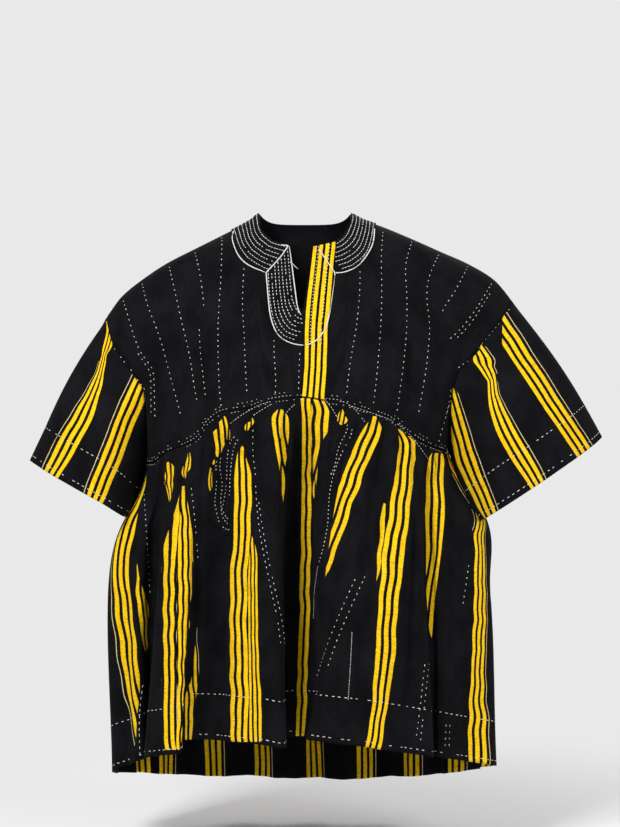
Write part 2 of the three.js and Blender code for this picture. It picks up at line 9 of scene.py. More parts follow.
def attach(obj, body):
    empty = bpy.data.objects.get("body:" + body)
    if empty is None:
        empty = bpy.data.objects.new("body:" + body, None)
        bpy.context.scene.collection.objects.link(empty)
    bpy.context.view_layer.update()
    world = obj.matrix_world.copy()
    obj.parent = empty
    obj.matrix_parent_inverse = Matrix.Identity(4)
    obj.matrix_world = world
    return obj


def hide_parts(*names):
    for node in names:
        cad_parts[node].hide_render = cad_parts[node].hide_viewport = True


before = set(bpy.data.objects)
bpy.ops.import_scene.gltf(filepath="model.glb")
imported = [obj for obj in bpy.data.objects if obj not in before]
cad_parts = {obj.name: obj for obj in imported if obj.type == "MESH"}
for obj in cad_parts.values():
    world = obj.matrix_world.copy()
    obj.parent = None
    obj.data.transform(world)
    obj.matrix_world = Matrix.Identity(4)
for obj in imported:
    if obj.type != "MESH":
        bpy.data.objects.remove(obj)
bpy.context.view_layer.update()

MM = 0.001
CLOTH = 1.1  # thickness of the body cloth's shell
TRIM = 0.9  # and of what is sewn on it
TUCK_UNDER = 5.0  # how far a panel runs on under the edge that covers it
TUCK_IN = 1.5  # how far inside that edge it lies
TUCK_LEANS = {"skirt": 0.3, "sleeve": 0.8}  # and how much further in its end is

# ---- camera: the photograph's frame, with 1.6 mm to a pixel in the plane of the shoulders --------------------------
PHOTO_WIDTH, PHOTO_HEIGHT = 620, 827
PIXEL = 1.6
CAMERA = np.array([8.0, -3200.0, -319.2])
SENSOR = 36.0


def to_photo(points):
    """Photograph columns and rows of points."""
    scale = PIXEL * (1 + points[..., 1] / -CAMERA[1])
    return (
        PHOTO_WIDTH / 2 + (points[..., 0] - CAMERA[0]) / scale,
        PHOTO_HEIGHT / 2 - (points[..., 2] - CAMERA[2]) / scale,
    )


# ---- small tools ----------------------------------------------------------------------------------------------------
def table(names, rows):
    return [dict(zip(names.split(), row)) for row in rows]


def column(rows, name):
    return np.array([row[name] for row in rows], float)


def mix(a, b, t):
    return a + (b - a) * t


def ease(t):
    t = np.clip(t, 0, 1)
    return t * t * (3 - 2 * t)


def ramp(value, low, high):
    """0 up to low, 1 from high on, eased between."""
    return ease((value - low) / (high - low))


def bell(t):
    return np.where(np.abs(t) < 1, (1 + np.cos(np.pi * np.clip(t, -1, 1))) / 2, 0.0)


def cubic(a, b, start, stop, s):
    """From a to b while s goes from 0 to 1, with the slopes start and stop at the ends."""
    near = (1 - s) ** 2
    return a * (1 + 2 * s) * near + start * s * near + b * s * s * (3 - 2 * s) + stop * s * s * (s - 1)


def curve(rows, by, of):
    """A monotone cubic through column `of` over column `by`."""
    x, y = column(rows, by), column(rows, of)
    slope = np.diff(y) / np.diff(x)
    same = slope[:-1] * slope[1:] > 0
    tangent = np.r_[slope[0], np.zeros(len(x) - 2), slope[-1]]
    tangent[1:-1][same] = (2 * slope[:-1] * slope[1:])[same] / (slope[:-1] + slope[1:])[same]

    def at(t):
        t = np.clip(t, x[0], x[-1])
        i = np.clip(np.searchsorted(x, t, side="right") - 1, 0, len(x) - 2)
        h = x[i + 1] - x[i]
        return cubic(y[i], y[i + 1], tangent[i] * h, tangent[i + 1] * h, (t - x[i]) / h)

    return at


def rolling(rows, of):
    """A Catmull-Rom curve through column `of`, over the row number."""
    y = column(rows, of)
    y = np.r_[2 * y[0] - y[1], y, 2 * y[-1] - y[-2]]

    def at(t):
        i = np.clip(np.floor(t).astype(int), 0, len(y) - 4)
        s = t - i
        before, a, b, after = y[i], y[i + 1], y[i + 2], y[i + 3]
        return a + 0.5 * s * (
            b - before + s * (2 * before - 5 * a + 4 * b - after + s * (3 * (a - b) + after - before))
        )

    return at


def grid(x, y, z):
    return np.stack(np.broadcast_arrays(x, y, z), axis=-1)


def unit(v):
    return v / np.maximum(np.linalg.norm(v, axis=-1, keepdims=True), 1e-9)
def arc(points, axis):
    """Length along a grid's axis, or along a line, up to each point."""
    start = np.zeros_like(np.take(points[..., 0], [0], axis=axis))
    steps = np.linalg.norm(np.diff(points, axis=axis), axis=-1)
    return np.concatenate([start, np.cumsum(steps, axis=axis)], axis=axis)
def normals_of(points, closed=False, outward=1):
    """Unit normals of a grid of points; its columns run round the wearer from left to right, its rows down."""
    if closed:
        across = np.roll(points, -1, axis=0) - np.roll(points, 1, axis=0)
    else:
        across = np.gradient(points, axis=0)
    return unit(np.cross(np.gradient(points, axis=1), across)) * outward


def smooth_noise(seed, count, low, high):
    """Waves of seeded direction, length and phase, as a function of two coordinates in millimetres. About -1 to 1."""
    rng = np.random.default_rng(seed)
    turn = rng.uniform(0, 2 * np.pi, count)
    pitch = 2 * np.pi / rng.uniform(low, high, count)
    phase = rng.uniform(0, 2 * np.pi, count)

    def at(a, b):
        total = 0
        for t, p, f in zip(turn, pitch, phase):
            total = total + np.sin((a * np.cos(t) + b * np.sin(t)) * p + f)
        return total / math.sqrt(count)

    return at


# ---- the form, as in the part's source ------------------------------------------------------------------------------
NECK_HALF = 72
NECK_BACK_RISE = 30
BACK_NECK_DROP, BACK_NECK_SQUARE = 12, 6
SHOULDER_ROUND = 70
CHEST_SWELL = 1.3
SEAM_MIDDLE, SEAM_HALF, ROUNDNESS = -12.5, 240.5, 2.4
TOP_LEFT, TOP_RIGHT = -316.0, 330.0  # the armholes' upper ends, on the ridge
LEFT, RIGHT = -253.0, 228.0  # their lower ends at the armpits, where the gather seam ends too
SEAM_DROP = 0.225  # half the gather seam's gap
SEAM_STEP = 4  # to either side of a place on it, for the way it runs there
LEAST_DEPTH, END_DEPTH = 0.15, 1.5  # half the gap between front and back: along the ridge, and at the armpits
BENT_OVER = 130  # how far from an armhole its shape bends the threads
ridge = curve(table("x z", [
    (-316, -163), (-293, -132), (-256, -102), (-221, -79), (-176, -56), (-134, -35), (-86, -10), (-72, 0), (72, 0),
    (91, -9), (125, -21), (171, -40), (216, -60), (261, -80), (302, -105), (325, -131), (330, -138),
]), "x", "z")
NECK_ROWS = table("x z", [
    (-72, 0), (-69, -26), (-62, -37), (-50, -47), (-38, -50.5), (-24, -54), (-21, -85), (-16, -141), (-4, -161),
    (0, -141), (6, -100), (12, -57), (27, -53), (46, -49), (60, -38), (70, -22), (72, 0),
])
thread_seam = curve(table("top seam", [
    (-316, -253), (-291, -226), (-261, -192), (-218, -165), (-176, -146), (-133, -125), (-100, -92), (-60, -56),
    (-4, -5), (12, 10), (60, 50), (88, 70), (125, 103), (171, 140), (214, 172), (261, 200), (299, 217), (330, 228),
]), "top", "seam")
ARMHOLE_ROWS = {
    "left": table("drop x depth", [
        (0, -316, 0), (0.04, -315, 20), (0.1, -311, 34), (0.18, -305, 46), (0.29, -290, 57), (0.39, -273, 62),
        (0.52, -253, 66), (0.67, -249, 60), (0.83, -249, 44), (0.95, -251, 20), (1, -253, 1.5),
    ]),
    "right": table("drop x depth", [
        (0, 330, 0), (0.06, 322, 20), (0.12, 313, 32), (0.18, 302, 42), (0.26, 285, 54), (0.4, 257, 62),
        (0.5, 238, 66), (0.65, 229, 62), (0.82, 226, 46), (0.95, 227, 20), (1, 228, 1.5),
    ]),
}
armhole_x = {side: curve(rows, "drop", "x") for side, rows in ARMHOLE_ROWS.items()}
armhole_depth = {side: curve(rows, "drop", "depth") for side, rows in ARMHOLE_ROWS.items()}
ARMHOLE_TOP = {"left": TOP_LEFT, "right": TOP_RIGHT}
FACES = {
    "front": dict(side=-1, shoulder=62, depth=138, seam_z=curve(table("x z", [
        (-253, -397), (-240, -396), (-215, -379), (-180, -366), (-163, -355), (-150, -333), (-127, -317), (-85, -310),
        (-56, -300), (-10, -294), (28, -299), (56, -302), (82, -310), (127, -325), (155, -345), (182, -363),
        (207, -373), (228, -380),
    ]), "x", "z")),
    "back": dict(side=1, shoulder=64, depth=126, seam_z=curve(table("x z", [
        (-253, -397), (-200, -372), (-130, -338), (-50, -322), (30, -320), (110, -334), (180, -362), (228, -380),
    ]), "x", "z")),
}


def plan(x):
    return (1 - np.minimum(1, np.abs((x - SEAM_MIDDLE) / SEAM_HALF)) ** ROUNDNESS) ** (1 / ROUNDNESS)


def yoke_top(face, x):
    neck = np.abs(x) < NECK_HALF
    if face == "front":
        cut = np.interp(x, column(NECK_ROWS, "x"), column(NECK_ROWS, "z"))
    else:
        cut = -BACK_NECK_DROP * (1 - (np.clip(x / NECK_HALF, -1, 1)) ** BACK_NECK_SQUARE)
    return np.where(neck, cut, ridge(x))


def yoke(face, top, v):
    """The yoke's outside: the thread that leaves the ridge at `top`, at the share v of its way to the gather seam."""
    top, v = np.broadcast_arrays(np.asarray(top, float), np.asarray(v, float))
    f = FACES[face]
    seam_x = thread_seam(top)
    z = mix(yoke_top(face, top), f["seam_z"](seam_x), v)
    left = top < 0
    edge_x = np.where(left, armhole_x["left"](v), armhole_x["right"](v))
    edge_top = np.where(left, ARMHOLE_TOP["left"], ARMHOLE_TOP["right"])
    edge_seam = np.where(left, LEFT, RIGHT)
    edge = (edge_x - edge_seam) / (edge_top - edge_seam)
    inside = ramp(np.abs(top - edge_top), 0, BENT_OVER)
    x = seam_x + (top - seam_x) * mix(edge, 1 - v, inside)
    neck = np.abs(top) < NECK_HALF
    rise = NECK_BACK_RISE * (1 - (top / NECK_HALF) ** 2) if face == "back" else 0 * top
    start = np.where(neck, rise, ridge(top))
    drop = start - z
    over = np.sqrt(1 - (1 - np.clip(drop / SHOULDER_ROUND, 0, 1)) ** 2)
    below = np.clip((drop - SHOULDER_ROUND) / (start - f["seam_z"](seam_x) - SHOULDER_ROUND), 0, 1)
    middle = f["shoulder"] * over + (f["depth"] - f["shoulder"]) * below**CHEST_SWELL
    depth = np.where(left, armhole_depth["left"](v), armhole_depth["right"](v))
    return grid(x, f["side"] * np.maximum(LEAST_DEPTH, mix(depth, middle, plan(seam_x))), z)


def seam_point(face, x):
    f = FACES[face]
    return grid(x, f["side"] * np.maximum(LEAST_DEPTH, mix(END_DEPTH, f["depth"], plan(x))), f["seam_z"](x))


def seam_out(face, x):
    """The level way out of the gather seam."""
    a = seam_point(face, np.clip(x - SEAM_STEP, LEFT, RIGHT))
    b = seam_point(face, np.clip(x + SEAM_STEP, LEFT, RIGHT))
    along = b - a
    out = grid(along[..., 1], -along[..., 0], 0 * along[..., 0])
    return unit(out) * (1 if FACES[face]["side"] < 0 else -1)


# One row for each crest, flank or root of a front fold, as in the part's source.
MIDDLE_Z = -575
FOLD_ROWS = table("topX midX midY hemX hemY hemZ", [
    (-253, -308, 0, -303, 0, -895), (-250, -299, -60, -295, -60, -878), (-244, -275, -95, -278, -100, -864),
    (-234, -254, -105, -253, -112, -854), (-224, -238, -92, -236, -92, -853), (-216, -230, -115, -243, -122, -847),
    (-206, -222, -135, -245, -148, -843), (-194, -202, -152, -219, -172, -837), (-174, -178, -155, -185, -186, -830),
    (-156, -165, -135, -190, -158, -817), (-128, -136, -135, -154, -145, -819), (-110, -115, -155, -112, -165, -818),
    (-78, -74, -170, -64, -184, -819), (-52, -44, -168, -33, -186, -824), (-32, -29, -148, -24, -158, -821),
    (-6, -9, -128, -12, -142, -816), (18, 8, -134, 17, -136, -817), (37, 13, -150, 48, -148, -815),
    (67, 25, -172, 43, -164, -813), (90, 49, -184, 14, -178, -811), (100, 61, -187, 3, -190, -810),
    (121, 86, -190, 45, -204, -814), (140, 110, -186, 92, -202, -820), (158, 149, -172, 125, -196, -826),
    (172, 166, -160, 162, -182, -833), (182, 182, -146, 193, -160, -841), (192, 189, -126, 199, -126, -848),
    (205, 206, -125, 209, -128, -848), (213, 234, -108, 244, -100, -857), (221, 267, -70, 281, -62, -869),
    (228, 292, 0, 302, 0, -881),
])
FOLDS = len(FOLD_ROWS) - 1
fold = {name: rolling(FOLD_ROWS, name) for name in FOLD_ROWS[0]}
FADE_FOLDS = 2  # fold rows over which creases fade out towards the sides
MIDDLE_SHARE = 0.5  # how much of a fold lies above its middle
SWOOP = 1.15  # how strongly it sets off from the seam
TUCKS = table("side from_x to_x z half out", [(-1, 165, 245, -440, 60, -5), (1, 165, 225, -490, 120, 21)])
HELD_FROM, HELD_TO = -75, -25  # the depths between which the part that is held out begins


def hanging(top, middle, hem, w):
    """From the seam through the folds' middle to the hem, as two cubic spans."""
    sweep = hem - top
    upper = w < MIDDLE_SHARE
    a, b = np.where(upper, top, middle), np.where(upper, middle, hem)
    start = np.where(upper, (middle - top) * SWOOP, sweep * (1 - MIDDLE_SHARE))
    stop = np.where(upper, sweep * MIDDLE_SHARE, hem - middle)
    s = np.where(upper, w / MIDDLE_SHARE, (w - MIDDLE_SHARE) / (1 - MIDDLE_SHARE))
    return cubic(a, b, start, stop, s)


def tucked(points):
    """The skirt's sides lie against the sleeves: pressed in under the left one, held out along the right one."""
    for row in TUCKS:
        near = bell((points[..., 2] - row["z"]) / row["half"])
        near = near * ramp(row["side"] * points[..., 0], row["from_x"], row["to_x"])
        if row["out"] > 0:
            near = near * ramp(points[..., 1], HELD_FROM, HELD_TO)
        points[..., 0] += row["side"] * row["out"] * near
    return points


# Puckers under the gather seam: the middle of each small crest along the seam, its half width and its height.
PUCKER_ROWS = table("x half out", [
    (-240, 7, 3), (-227, 7, 4), (-213, 8, 5), (-196, 8, 5), (-179, 8, 5), (-164, 7, 4), (-147, 9, 6), (-126, 10, 6),
    (-104, 9, 5), (-88, 8, 5), (-68, 9, 5), (-40, 12, 6), (-17, 9, 5), (12, 17, 5), (40, 8, 5), (57, 8, 6),
    (78, 9, 4), (97, 11, 6), (118, 8, 5), (143, 11, 6), (161, 7, 5), (181, 10, 6), (199, 7, 4), (213, 7, 3),
])
PUCKER_AT = 0.075  # the share of the way down at which they stand out most
PUCKER_SINK = 1.5  # how far the cloth between them lies back


def puckers(x, w, rows):
    total = 0
    for row in rows:
        total = total + row["out"] * bell((x - row["x"]) / row["half"])
    return (total - PUCKER_SINK) * ((w / PUCKER_AT) * np.exp(1 - w / PUCKER_AT))


def front_skirt(k, w):
    """The front panel's outside at fold row k and the share w of the way down."""
    k, w = np.broadcast_arrays(k, w)
    x = np.clip(fold["topX"](k), LEFT, RIGHT)
    top = seam_point("front", x) - [0, 0, SEAM_DROP]
    middle = grid(fold["midX"](k), fold["midY"](k), MIDDLE_Z)
    hem = grid(fold["hemX"](k), fold["hemY"](k), fold["hemZ"](k))
    edge = ramp(np.minimum(k, FOLDS - k), 0, FADE_FOLDS)
    out = seam_out("front", x) * (edge * puckers(x, w, PUCKER_ROWS))[..., None]
    return tucked(hanging(top, middle, hem, w[..., None]) + out)


BACK_FOLD_ROWS = table("top hem out half", [
    (0.09, 0.07, 15, 0.045), (0.2, 0.17, 26, 0.05), (0.3, 0.29, 20, 0.045), (0.41, 0.4, 30, 0.055),
    (0.52, 0.53, 22, 0.045), (0.62, 0.64, 29, 0.05), (0.73, 0.745, 19, 0.042), (0.83, 0.84, 27, 0.05),
    (0.92, 0.93, 14, 0.04),
])
BACK_HEM_DEPTH, BACK_MIDDLE_DEPTH, BACK_ROUNDNESS = 160, 0.94, 0.9  # the second is a share of the first
BACK_GROWN, BACK_FOLDS_START = 0.4, 0.75  # the share of the way down over which the folds grow, and their start
BACK_VALLEY, BACK_VALLEY_WIDE = 0.35, 1.6  # the valleys beside a fold, against its height and width
BACK_SIDE = 0.05  # the share of the width over which puckers fade out towards the sides
back_hem = curve(table("at z", [
    (0, -895), (0.15, -908), (0.35, -926), (0.55, -933), (0.75, -918), (0.9, -895), (1, -881),
]), "at", "z")
BACK_PUCKER_ROWS = table("x half out", [  # evenly set, with slight waves in place, width and height
    (-238 + 20.6 * i + 4 * math.sin(2.3 * i), 9 + 1.5 * math.sin(1.7 * i), 8 + 2 * math.cos(2.9 * i)) for i in range(23)
])


def back_skirt(u, w):
    """The back panel's outside at the share u from left to right and the share w of the way down."""
    u, w = np.broadcast_arrays(u, w)
    x = mix(LEFT, RIGHT, u)
    top = seam_point("back", x) - [0, 0, SEAM_DROP]
    turn = np.pi * u
    first, last = FOLD_ROWS[0], FOLD_ROWS[-1]

    def oval(name, depth, z):
        start, stop = first[name], last[name]
        x = (start + stop) / 2 - (stop - start) / 2 * np.cos(turn)
        return grid(x, depth * np.maximum(np.sin(turn), 0) ** BACK_ROUNDNESS, z)

    middle = oval("midX", BACK_HEM_DEPTH * BACK_MIDDLE_DEPTH, MIDDLE_Z)
    hem = oval("hemX", BACK_HEM_DEPTH, back_hem(u))
    points = hanging(top, middle, hem, w[..., None])
    out = grid(-np.cos(turn), np.sin(turn), 0 * turn)
    grown = ramp(w, 0, BACK_GROWN) * mix(BACK_FOLDS_START, 1, w)
    for row in BACK_FOLD_ROWS:
        near = (u - mix(row["top"], row["hem"], w)) / row["half"]
        ridged = bell(near) - BACK_VALLEY * bell(near / BACK_VALLEY_WIDE)
        points = points + out * (row["out"] * grown * ridged)[..., None]
    edge = ramp(np.minimum(u, 1 - u), 0, BACK_SIDE)
    points = points + out * (edge * puckers(x, w, BACK_PUCKER_ROWS))[..., None]
    return tucked(points)


CUFFS = {
    "left": dict(tip=(-436, -6, -393), corner=(-279, -70, -479), half=72),
    "right": dict(tip=(471, -6, -357), corner=(279, -72, -484), half=62),
}
CUFF_EGG = 0.12  # how much fuller the cuff is low down than near its top
CUFF_LONGER, CUFF_SHORTER = 11, 2  # how far its front hangs past the line from tip to corner; its back ends short
SWELL = 9  # how far the sleeve stands out between its ends,
SWELL_DEEP, SWELL_ABOVE, SWELL_BELOW = 1.6, 0.7, 0.2  # and its shares to the front and back, upwards and downwards


def sleeve(side, turn, s):
    """turn runs round the sleeve from its top, down the front and up the back; s runs from the armhole to the cuff."""
    cuff = CUFFS[side]
    tip, corner = np.array(cuff["tip"], float), np.array(cuff["corner"], float)
    middle = (tip + corner) / 2
    long = tip - middle
    top = yoke("front", ARMHOLE_TOP[side], 0.0)
    low = yoke("front", ARMHOLE_TOP[side], 1.0)
    axis = unit(middle - (top + low) / 2)
    deep = unit(np.cross(axis, long))
    deep = -deep if deep[1] > 0 else deep
    turn = turn[:, None]
    v = (1 - np.cos(turn)) / 2
    front, back = yoke("front", ARMHOLE_TOP[side], v), yoke("back", ARMHOLE_TOP[side], v)
    in_front = turn <= np.pi
    start = np.where(in_front[..., None], front, back)
    deep_half = cuff["half"] * np.sin(turn) * (1 - CUFF_EGG * np.cos(turn))
    end = middle + long * np.cos(turn)[..., None] + deep * deep_half[..., None]
    s = s[None, :, None]
    points = mix(start, end, s)
    hangs = np.where(in_front, CUFF_LONGER, CUFF_SHORTER)[..., None]
    points = points + axis * (s * s * hangs * np.sin(turn)[..., None])
    swell = (np.sin(np.pi * s) * SWELL)[..., 0]
    points = points + deep * (swell * np.sin(turn) * SWELL_DEEP)[..., None]
    upright = np.where(np.cos(turn) > 0, SWELL_ABOVE, SWELL_BELOW)
    return points + unit(long) * (swell * np.cos(turn) * upright)[..., None]


PLAIN = (500.0, -50.0)  # the stripes map of cloth that has none: far from a group, and outside its edges


# ---- meshes ---------------------------------------------------------------------------------------------------------
def new_object(name, mesh, material):
    mesh.materials.append(material)
    o = bpy.data.objects.new(name, mesh)
    bpy.context.scene.collection.objects.link(o)
    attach(o, "root")
    return o


def quad_faces(columns, rows, closed, outward):
    i = np.arange(columns if closed else columns - 1)[:, None]
    j = np.arange(rows - 1)[None, :]
    right = (i + 1) % columns
    quads = np.stack([i * rows + j, i * rows + j + 1, right * rows + j + 1, right * rows + j], axis=-1).reshape(-1, 4)
    return quads if outward > 0 else quads[:, ::-1]


def cloth_object(name, points, uv, stripes, material, thickness=CLOTH, closed=False, outward=1):
    """points is a grid in millimetres. uv is its place in the cloth. stripes is its place in the nearest group of
    stripes, with how far inside that group's visible edges it lies, and can hold the same for a second group. Both are
    grids too, with one column more if closed."""
    columns, rows = points.shape[:2]
    mesh = bpy.data.meshes.new(name)
    mesh.from_pydata((points.reshape(-1, 3) * MM).tolist(), [], quad_faces(columns, rows, closed, outward).tolist())
    corners = quad_faces(columns + 1 if closed else columns, rows, False, outward).reshape(-1)
    if stripes.shape[-1] == 2:
        stripes = np.concatenate([stripes, np.broadcast_to(np.array(PLAIN), stripes.shape)], axis=-1)
    for layer, values in (("cloth", uv), ("stripes", stripes[..., :2]), ("stripes_over", stripes[..., 2:])):
        made = mesh.uv_layers.new(name=layer)
        made.uv.foreach_set("vector", (values.reshape(-1, 2)[corners] * MM).astype(np.float32).reshape(-1))
    mesh.polygons.foreach_set("use_smooth", [True] * len(mesh.polygons))
    mesh.update()
    o = new_object(name, mesh, material)
    wall = o.modifiers.new("wall", "SOLIDIFY")
    wall.thickness, wall.offset, wall.use_rim = thickness * MM, -1, True
    return o


def surface_tree(grids):
    """A tree of several (points, closed, outward) grids, for finding what the photograph sees."""
    vertices, polygons, base = [], [], 0
    for points, closed, outward in grids:
        columns, rows = points.shape[:2]
        vertices += points.reshape(-1, 3).tolist()
        polygons += (quad_faces(columns, rows, closed, outward) + base).tolist()
        base += columns * rows
    return BVHTree.FromPolygons(vertices, polygons)


def seen(tree, px, py):
    """The first point and normal that the photograph's pixel shows, or None."""
    ray = Vector(((px - PHOTO_WIDTH / 2) * PIXEL, -CAMERA[1], -(py - PHOTO_HEIGHT / 2) * PIXEL)).normalized()
    place, normal, _, _ = tree.ray_cast(Vector(CAMERA), ray)
    if place is None:
        return None
    return np.array(place), np.array(normal if normal.dot(ray) < 0 else -normal)


# ---- materials ------------------------------------------------------------------------------------------------------
def set_inputs(node, **values):
    """Sets inputs of a node by their names, with _ for a space."""
    for name, value in values.items():
        node.inputs[name.replace("_", " ")].default_value = value


class Nodes:
    """Short names for the nodes of one material."""

    def __init__(self, name):
        self.material = bpy.data.materials.new(name)
        self.material.use_nodes = True
        self.tree = self.material.node_tree
        self.shader = self.tree.nodes["Principled BSDF"]

    def link(self, value, socket):
        """Feeds an input from an output, or with a fixed value."""
        if isinstance(value, bpy.types.NodeSocket):
            self.tree.links.new(value, socket)
        else:
            socket.default_value = value

    def add(self, kind, **settings):
        node = self.tree.nodes.new(kind)
        for key, value in settings.items():
            setattr(node, key, value)
        return node

    def math(self, operation, a, b=0.0, c=0.0):
        node = self.add("ShaderNodeMath", operation=operation)
        for value, socket in zip((a, b, c), node.inputs):
            self.link(value, socket)
        return node.outputs[0]

    def step(self, value, low, high):
        """0 below low, 1 above high, smooth between."""
        node = self.add("ShaderNodeMapRange", interpolation_type="SMOOTHSTEP")
        self.link(value, node.inputs["Value"])
        set_inputs(node, From_Min=low, From_Max=high)
        return node.outputs[0]

    def blend(self, factor, a, b):
        node = self.add("ShaderNodeMix", data_type="RGBA")
        self.link(factor, node.inputs[0])
        self.link(a, node.inputs[6])
        self.link(b, node.inputs[7])
        return node.outputs[2]

    def map_of(self, layer):
        split = self.add("ShaderNodeSeparateXYZ")
        self.link(self.add("ShaderNodeUVMap", uv_map=layer).outputs[0], split.inputs[0])
        return split.outputs[0], split.outputs[1]

    def noise(self, u, v, u_size, v_size, detail=2.0):
        """Noise whose grains are about u_size by v_size metres in the cloth."""
        join = self.add("ShaderNodeCombineXYZ")
        self.link(self.math("DIVIDE", u, u_size), join.inputs[0])
        self.link(self.math("DIVIDE", v, v_size), join.inputs[1])
        node = self.add("ShaderNodeTexNoise", noise_dimensions="2D")
        set_inputs(node, Scale=1.0, Detail=detail)
        self.link(join.outputs[0], node.inputs["Vector"])
        return node.outputs["Fac"]

    def bump(self, height, strength, distance, normal=None):
        node = self.add("ShaderNodeBump")
        set_inputs(node, Strength=strength, Distance=distance)
        self.link(height, node.inputs["Height"])
        if normal is not None:
            self.link(normal, node.inputs["Normal"])
        return node.outputs[0]


def rgb(r, g, b):
    """A colour read as 0 to 255, as linear light."""
    linear = [((c / 255 + 0.055) / 1.055) ** 2.4 if c > 10 else c / 255 / 12.92 for c in (r, g, b)]
    return (*linear, 1.0)


BLACK, BLACK_WORN = rgb(8, 8, 10), rgb(22, 22, 26)
YELLOW, YELLOW_DEEP, CREAM = rgb(252, 213, 28), rgb(222, 158, 8), rgb(226, 206, 150)
SHEEN = rgb(150, 150, 160)
STRIPE_PITCH, STRIPE_HALF = 10.7, 3.1
THIN_AT, THIN_HALF = 8.4, 0.5  # a thin line, from the middle of the thick stripe beside it
EDGE = 0.3 * MM  # half the softness of a stripe's edge
WARP, WEFT = 0.85 * MM, 1.15 * MM  # pitch of the threads


def cloth_material(name, stripes=0):
    n = Nodes(name)
    u, v = n.map_of("cloth")
    # Threads: warp ribs along v with a weft that goes over and under them.
    warp = n.math("SINE", n.math("MULTIPLY", u, 2 * math.pi / WARP))
    weft = n.math("SINE", n.math("MULTIPLY", v, 2 * math.pi / WEFT))
    weave = n.math("MULTIPLY_ADD", n.math("MULTIPLY", warp, weft), 0.35, n.math("MULTIPLY", warp, 0.5))
    slub = n.noise(u, v, 0.9 * MM, 14 * MM, 3.0)
    cross = n.noise(u, v, 10 * MM, 1.2 * MM, 3.0)
    patch = n.noise(u, v, 45 * MM, 60 * MM, 4.0)
    worn = n.math("MULTIPLY_ADD", cross, 0.45, n.math("MULTIPLY", slub, 0.55))
    worn = n.math("MULTIPLY_ADD", patch, 0.5, n.math("MULTIPLY", worn, 0.6))
    colour = n.blend(n.step(worn, 0.38, 0.75), BLACK, BLACK_WORN)
    height = n.math("MULTIPLY_ADD", slub, 0.5, n.math("MULTIPLY", weave, 0.35))
    if stripes:
        # The stripes' edges wander over a few threads and drift over a few centimetres.
        wander = n.math("MULTIPLY", n.math("SUBTRACT", n.noise(u, v, 3 * MM, 2.2 * MM, 2.0), 0.5), 0.9 * MM)
        drift = n.math("SUBTRACT", n.noise(u, v, 60 * MM, 34 * MM, 1.0), 0.5)
        wander = n.math("MULTIPLY_ADD", drift, 1.3 * MM, wander)
        tone = n.math("MULTIPLY_ADD", cross, 0.7, n.math("MULTIPLY", slub, 0.3))
        yellow = n.blend(n.step(tone, 0.3, 0.62), YELLOW_DEEP, YELLOW)
        pitch, half, thin_at, thin_half = (size * MM for size in (STRIPE_PITCH, STRIPE_HALF, THIN_AT, THIN_HALF))
        first = (1 - stripes) / 2 * pitch
        for layer in ("stripes", "stripes_over"):
            g, inside = n.map_of(layer)
            g = n.math("ADD", g, wander)
            shown = n.step(inside, 0.0, 0.5 * MM)
            number = n.math("ROUND", n.math("DIVIDE", n.math("SUBTRACT", g, first), pitch))
            number = n.math("MAXIMUM", n.math("MINIMUM", number, stripes - 1.0), 0.0)
            off = n.math("ABSOLUTE", n.math("SUBTRACT", g, n.math("MULTIPLY_ADD", number, pitch, first)))
            off_thin = n.math("ABSOLUTE", n.math("SUBTRACT", n.math("ABSOLUTE", g), thin_at - first))
            thick, thin = (
                n.math("MULTIPLY", n.math("SUBTRACT", 1.0, n.step(from_it, wide - EDGE, wide + EDGE)), shown)
                for from_it, wide in ((off, half), (off_thin, thin_half))
            )
            colour = n.blend(thin, n.blend(thick, colour, yellow), CREAM)
            rounded = n.math("SUBTRACT", 1.0, n.math("POWER", n.math("DIVIDE", off, half), 2.0))
            rounded = n.math("MULTIPLY_ADD", n.math("MAXIMUM", rounded, 0.0), 0.6, n.math("MULTIPLY", cross, 0.7))
            height = n.math("MULTIPLY_ADD", thick, rounded, height)
    n.link(colour, n.shader.inputs["Base Color"])
    set_inputs(
        n.shader, Roughness=0.9, Specular_IOR_Level=0.07, Sheen_Weight=0.03, Sheen_Roughness=0.5, Sheen_Tint=SHEEN
    )
    soft = n.bump(n.noise(u, v, 26 * MM, 40 * MM, 3.0), 0.35, 3 * MM)
    n.link(n.bump(height, 0.7, 0.35 * MM, soft), n.shader.inputs["Normal"])
    return n.material


def thread_material(name, colour, shade):
    n = Nodes(name)
    noise = n.add("ShaderNodeTexNoise")
    set_inputs(noise, Scale=900)
    n.link(n.add("ShaderNodeTexCoord").outputs["Object"], noise.inputs["Vector"])
    n.link(n.blend(noise.outputs["Fac"], shade, colour), n.shader.inputs["Base Color"])
    set_inputs(n.shader, Roughness=0.75)
    n.link(n.bump(noise.outputs["Fac"], 0.5, 0.3 * MM), n.shader.inputs["Normal"])
    return n.material


black_cloth = cloth_material("black_hand_woven")
striped_cloth = cloth_material("striped_hand_woven", 3)
strip_cloth = cloth_material("yellow_strip_hand_woven", 4)
white_thread = thread_material("white_thread", rgb(240, 238, 232), rgb(196, 194, 190))

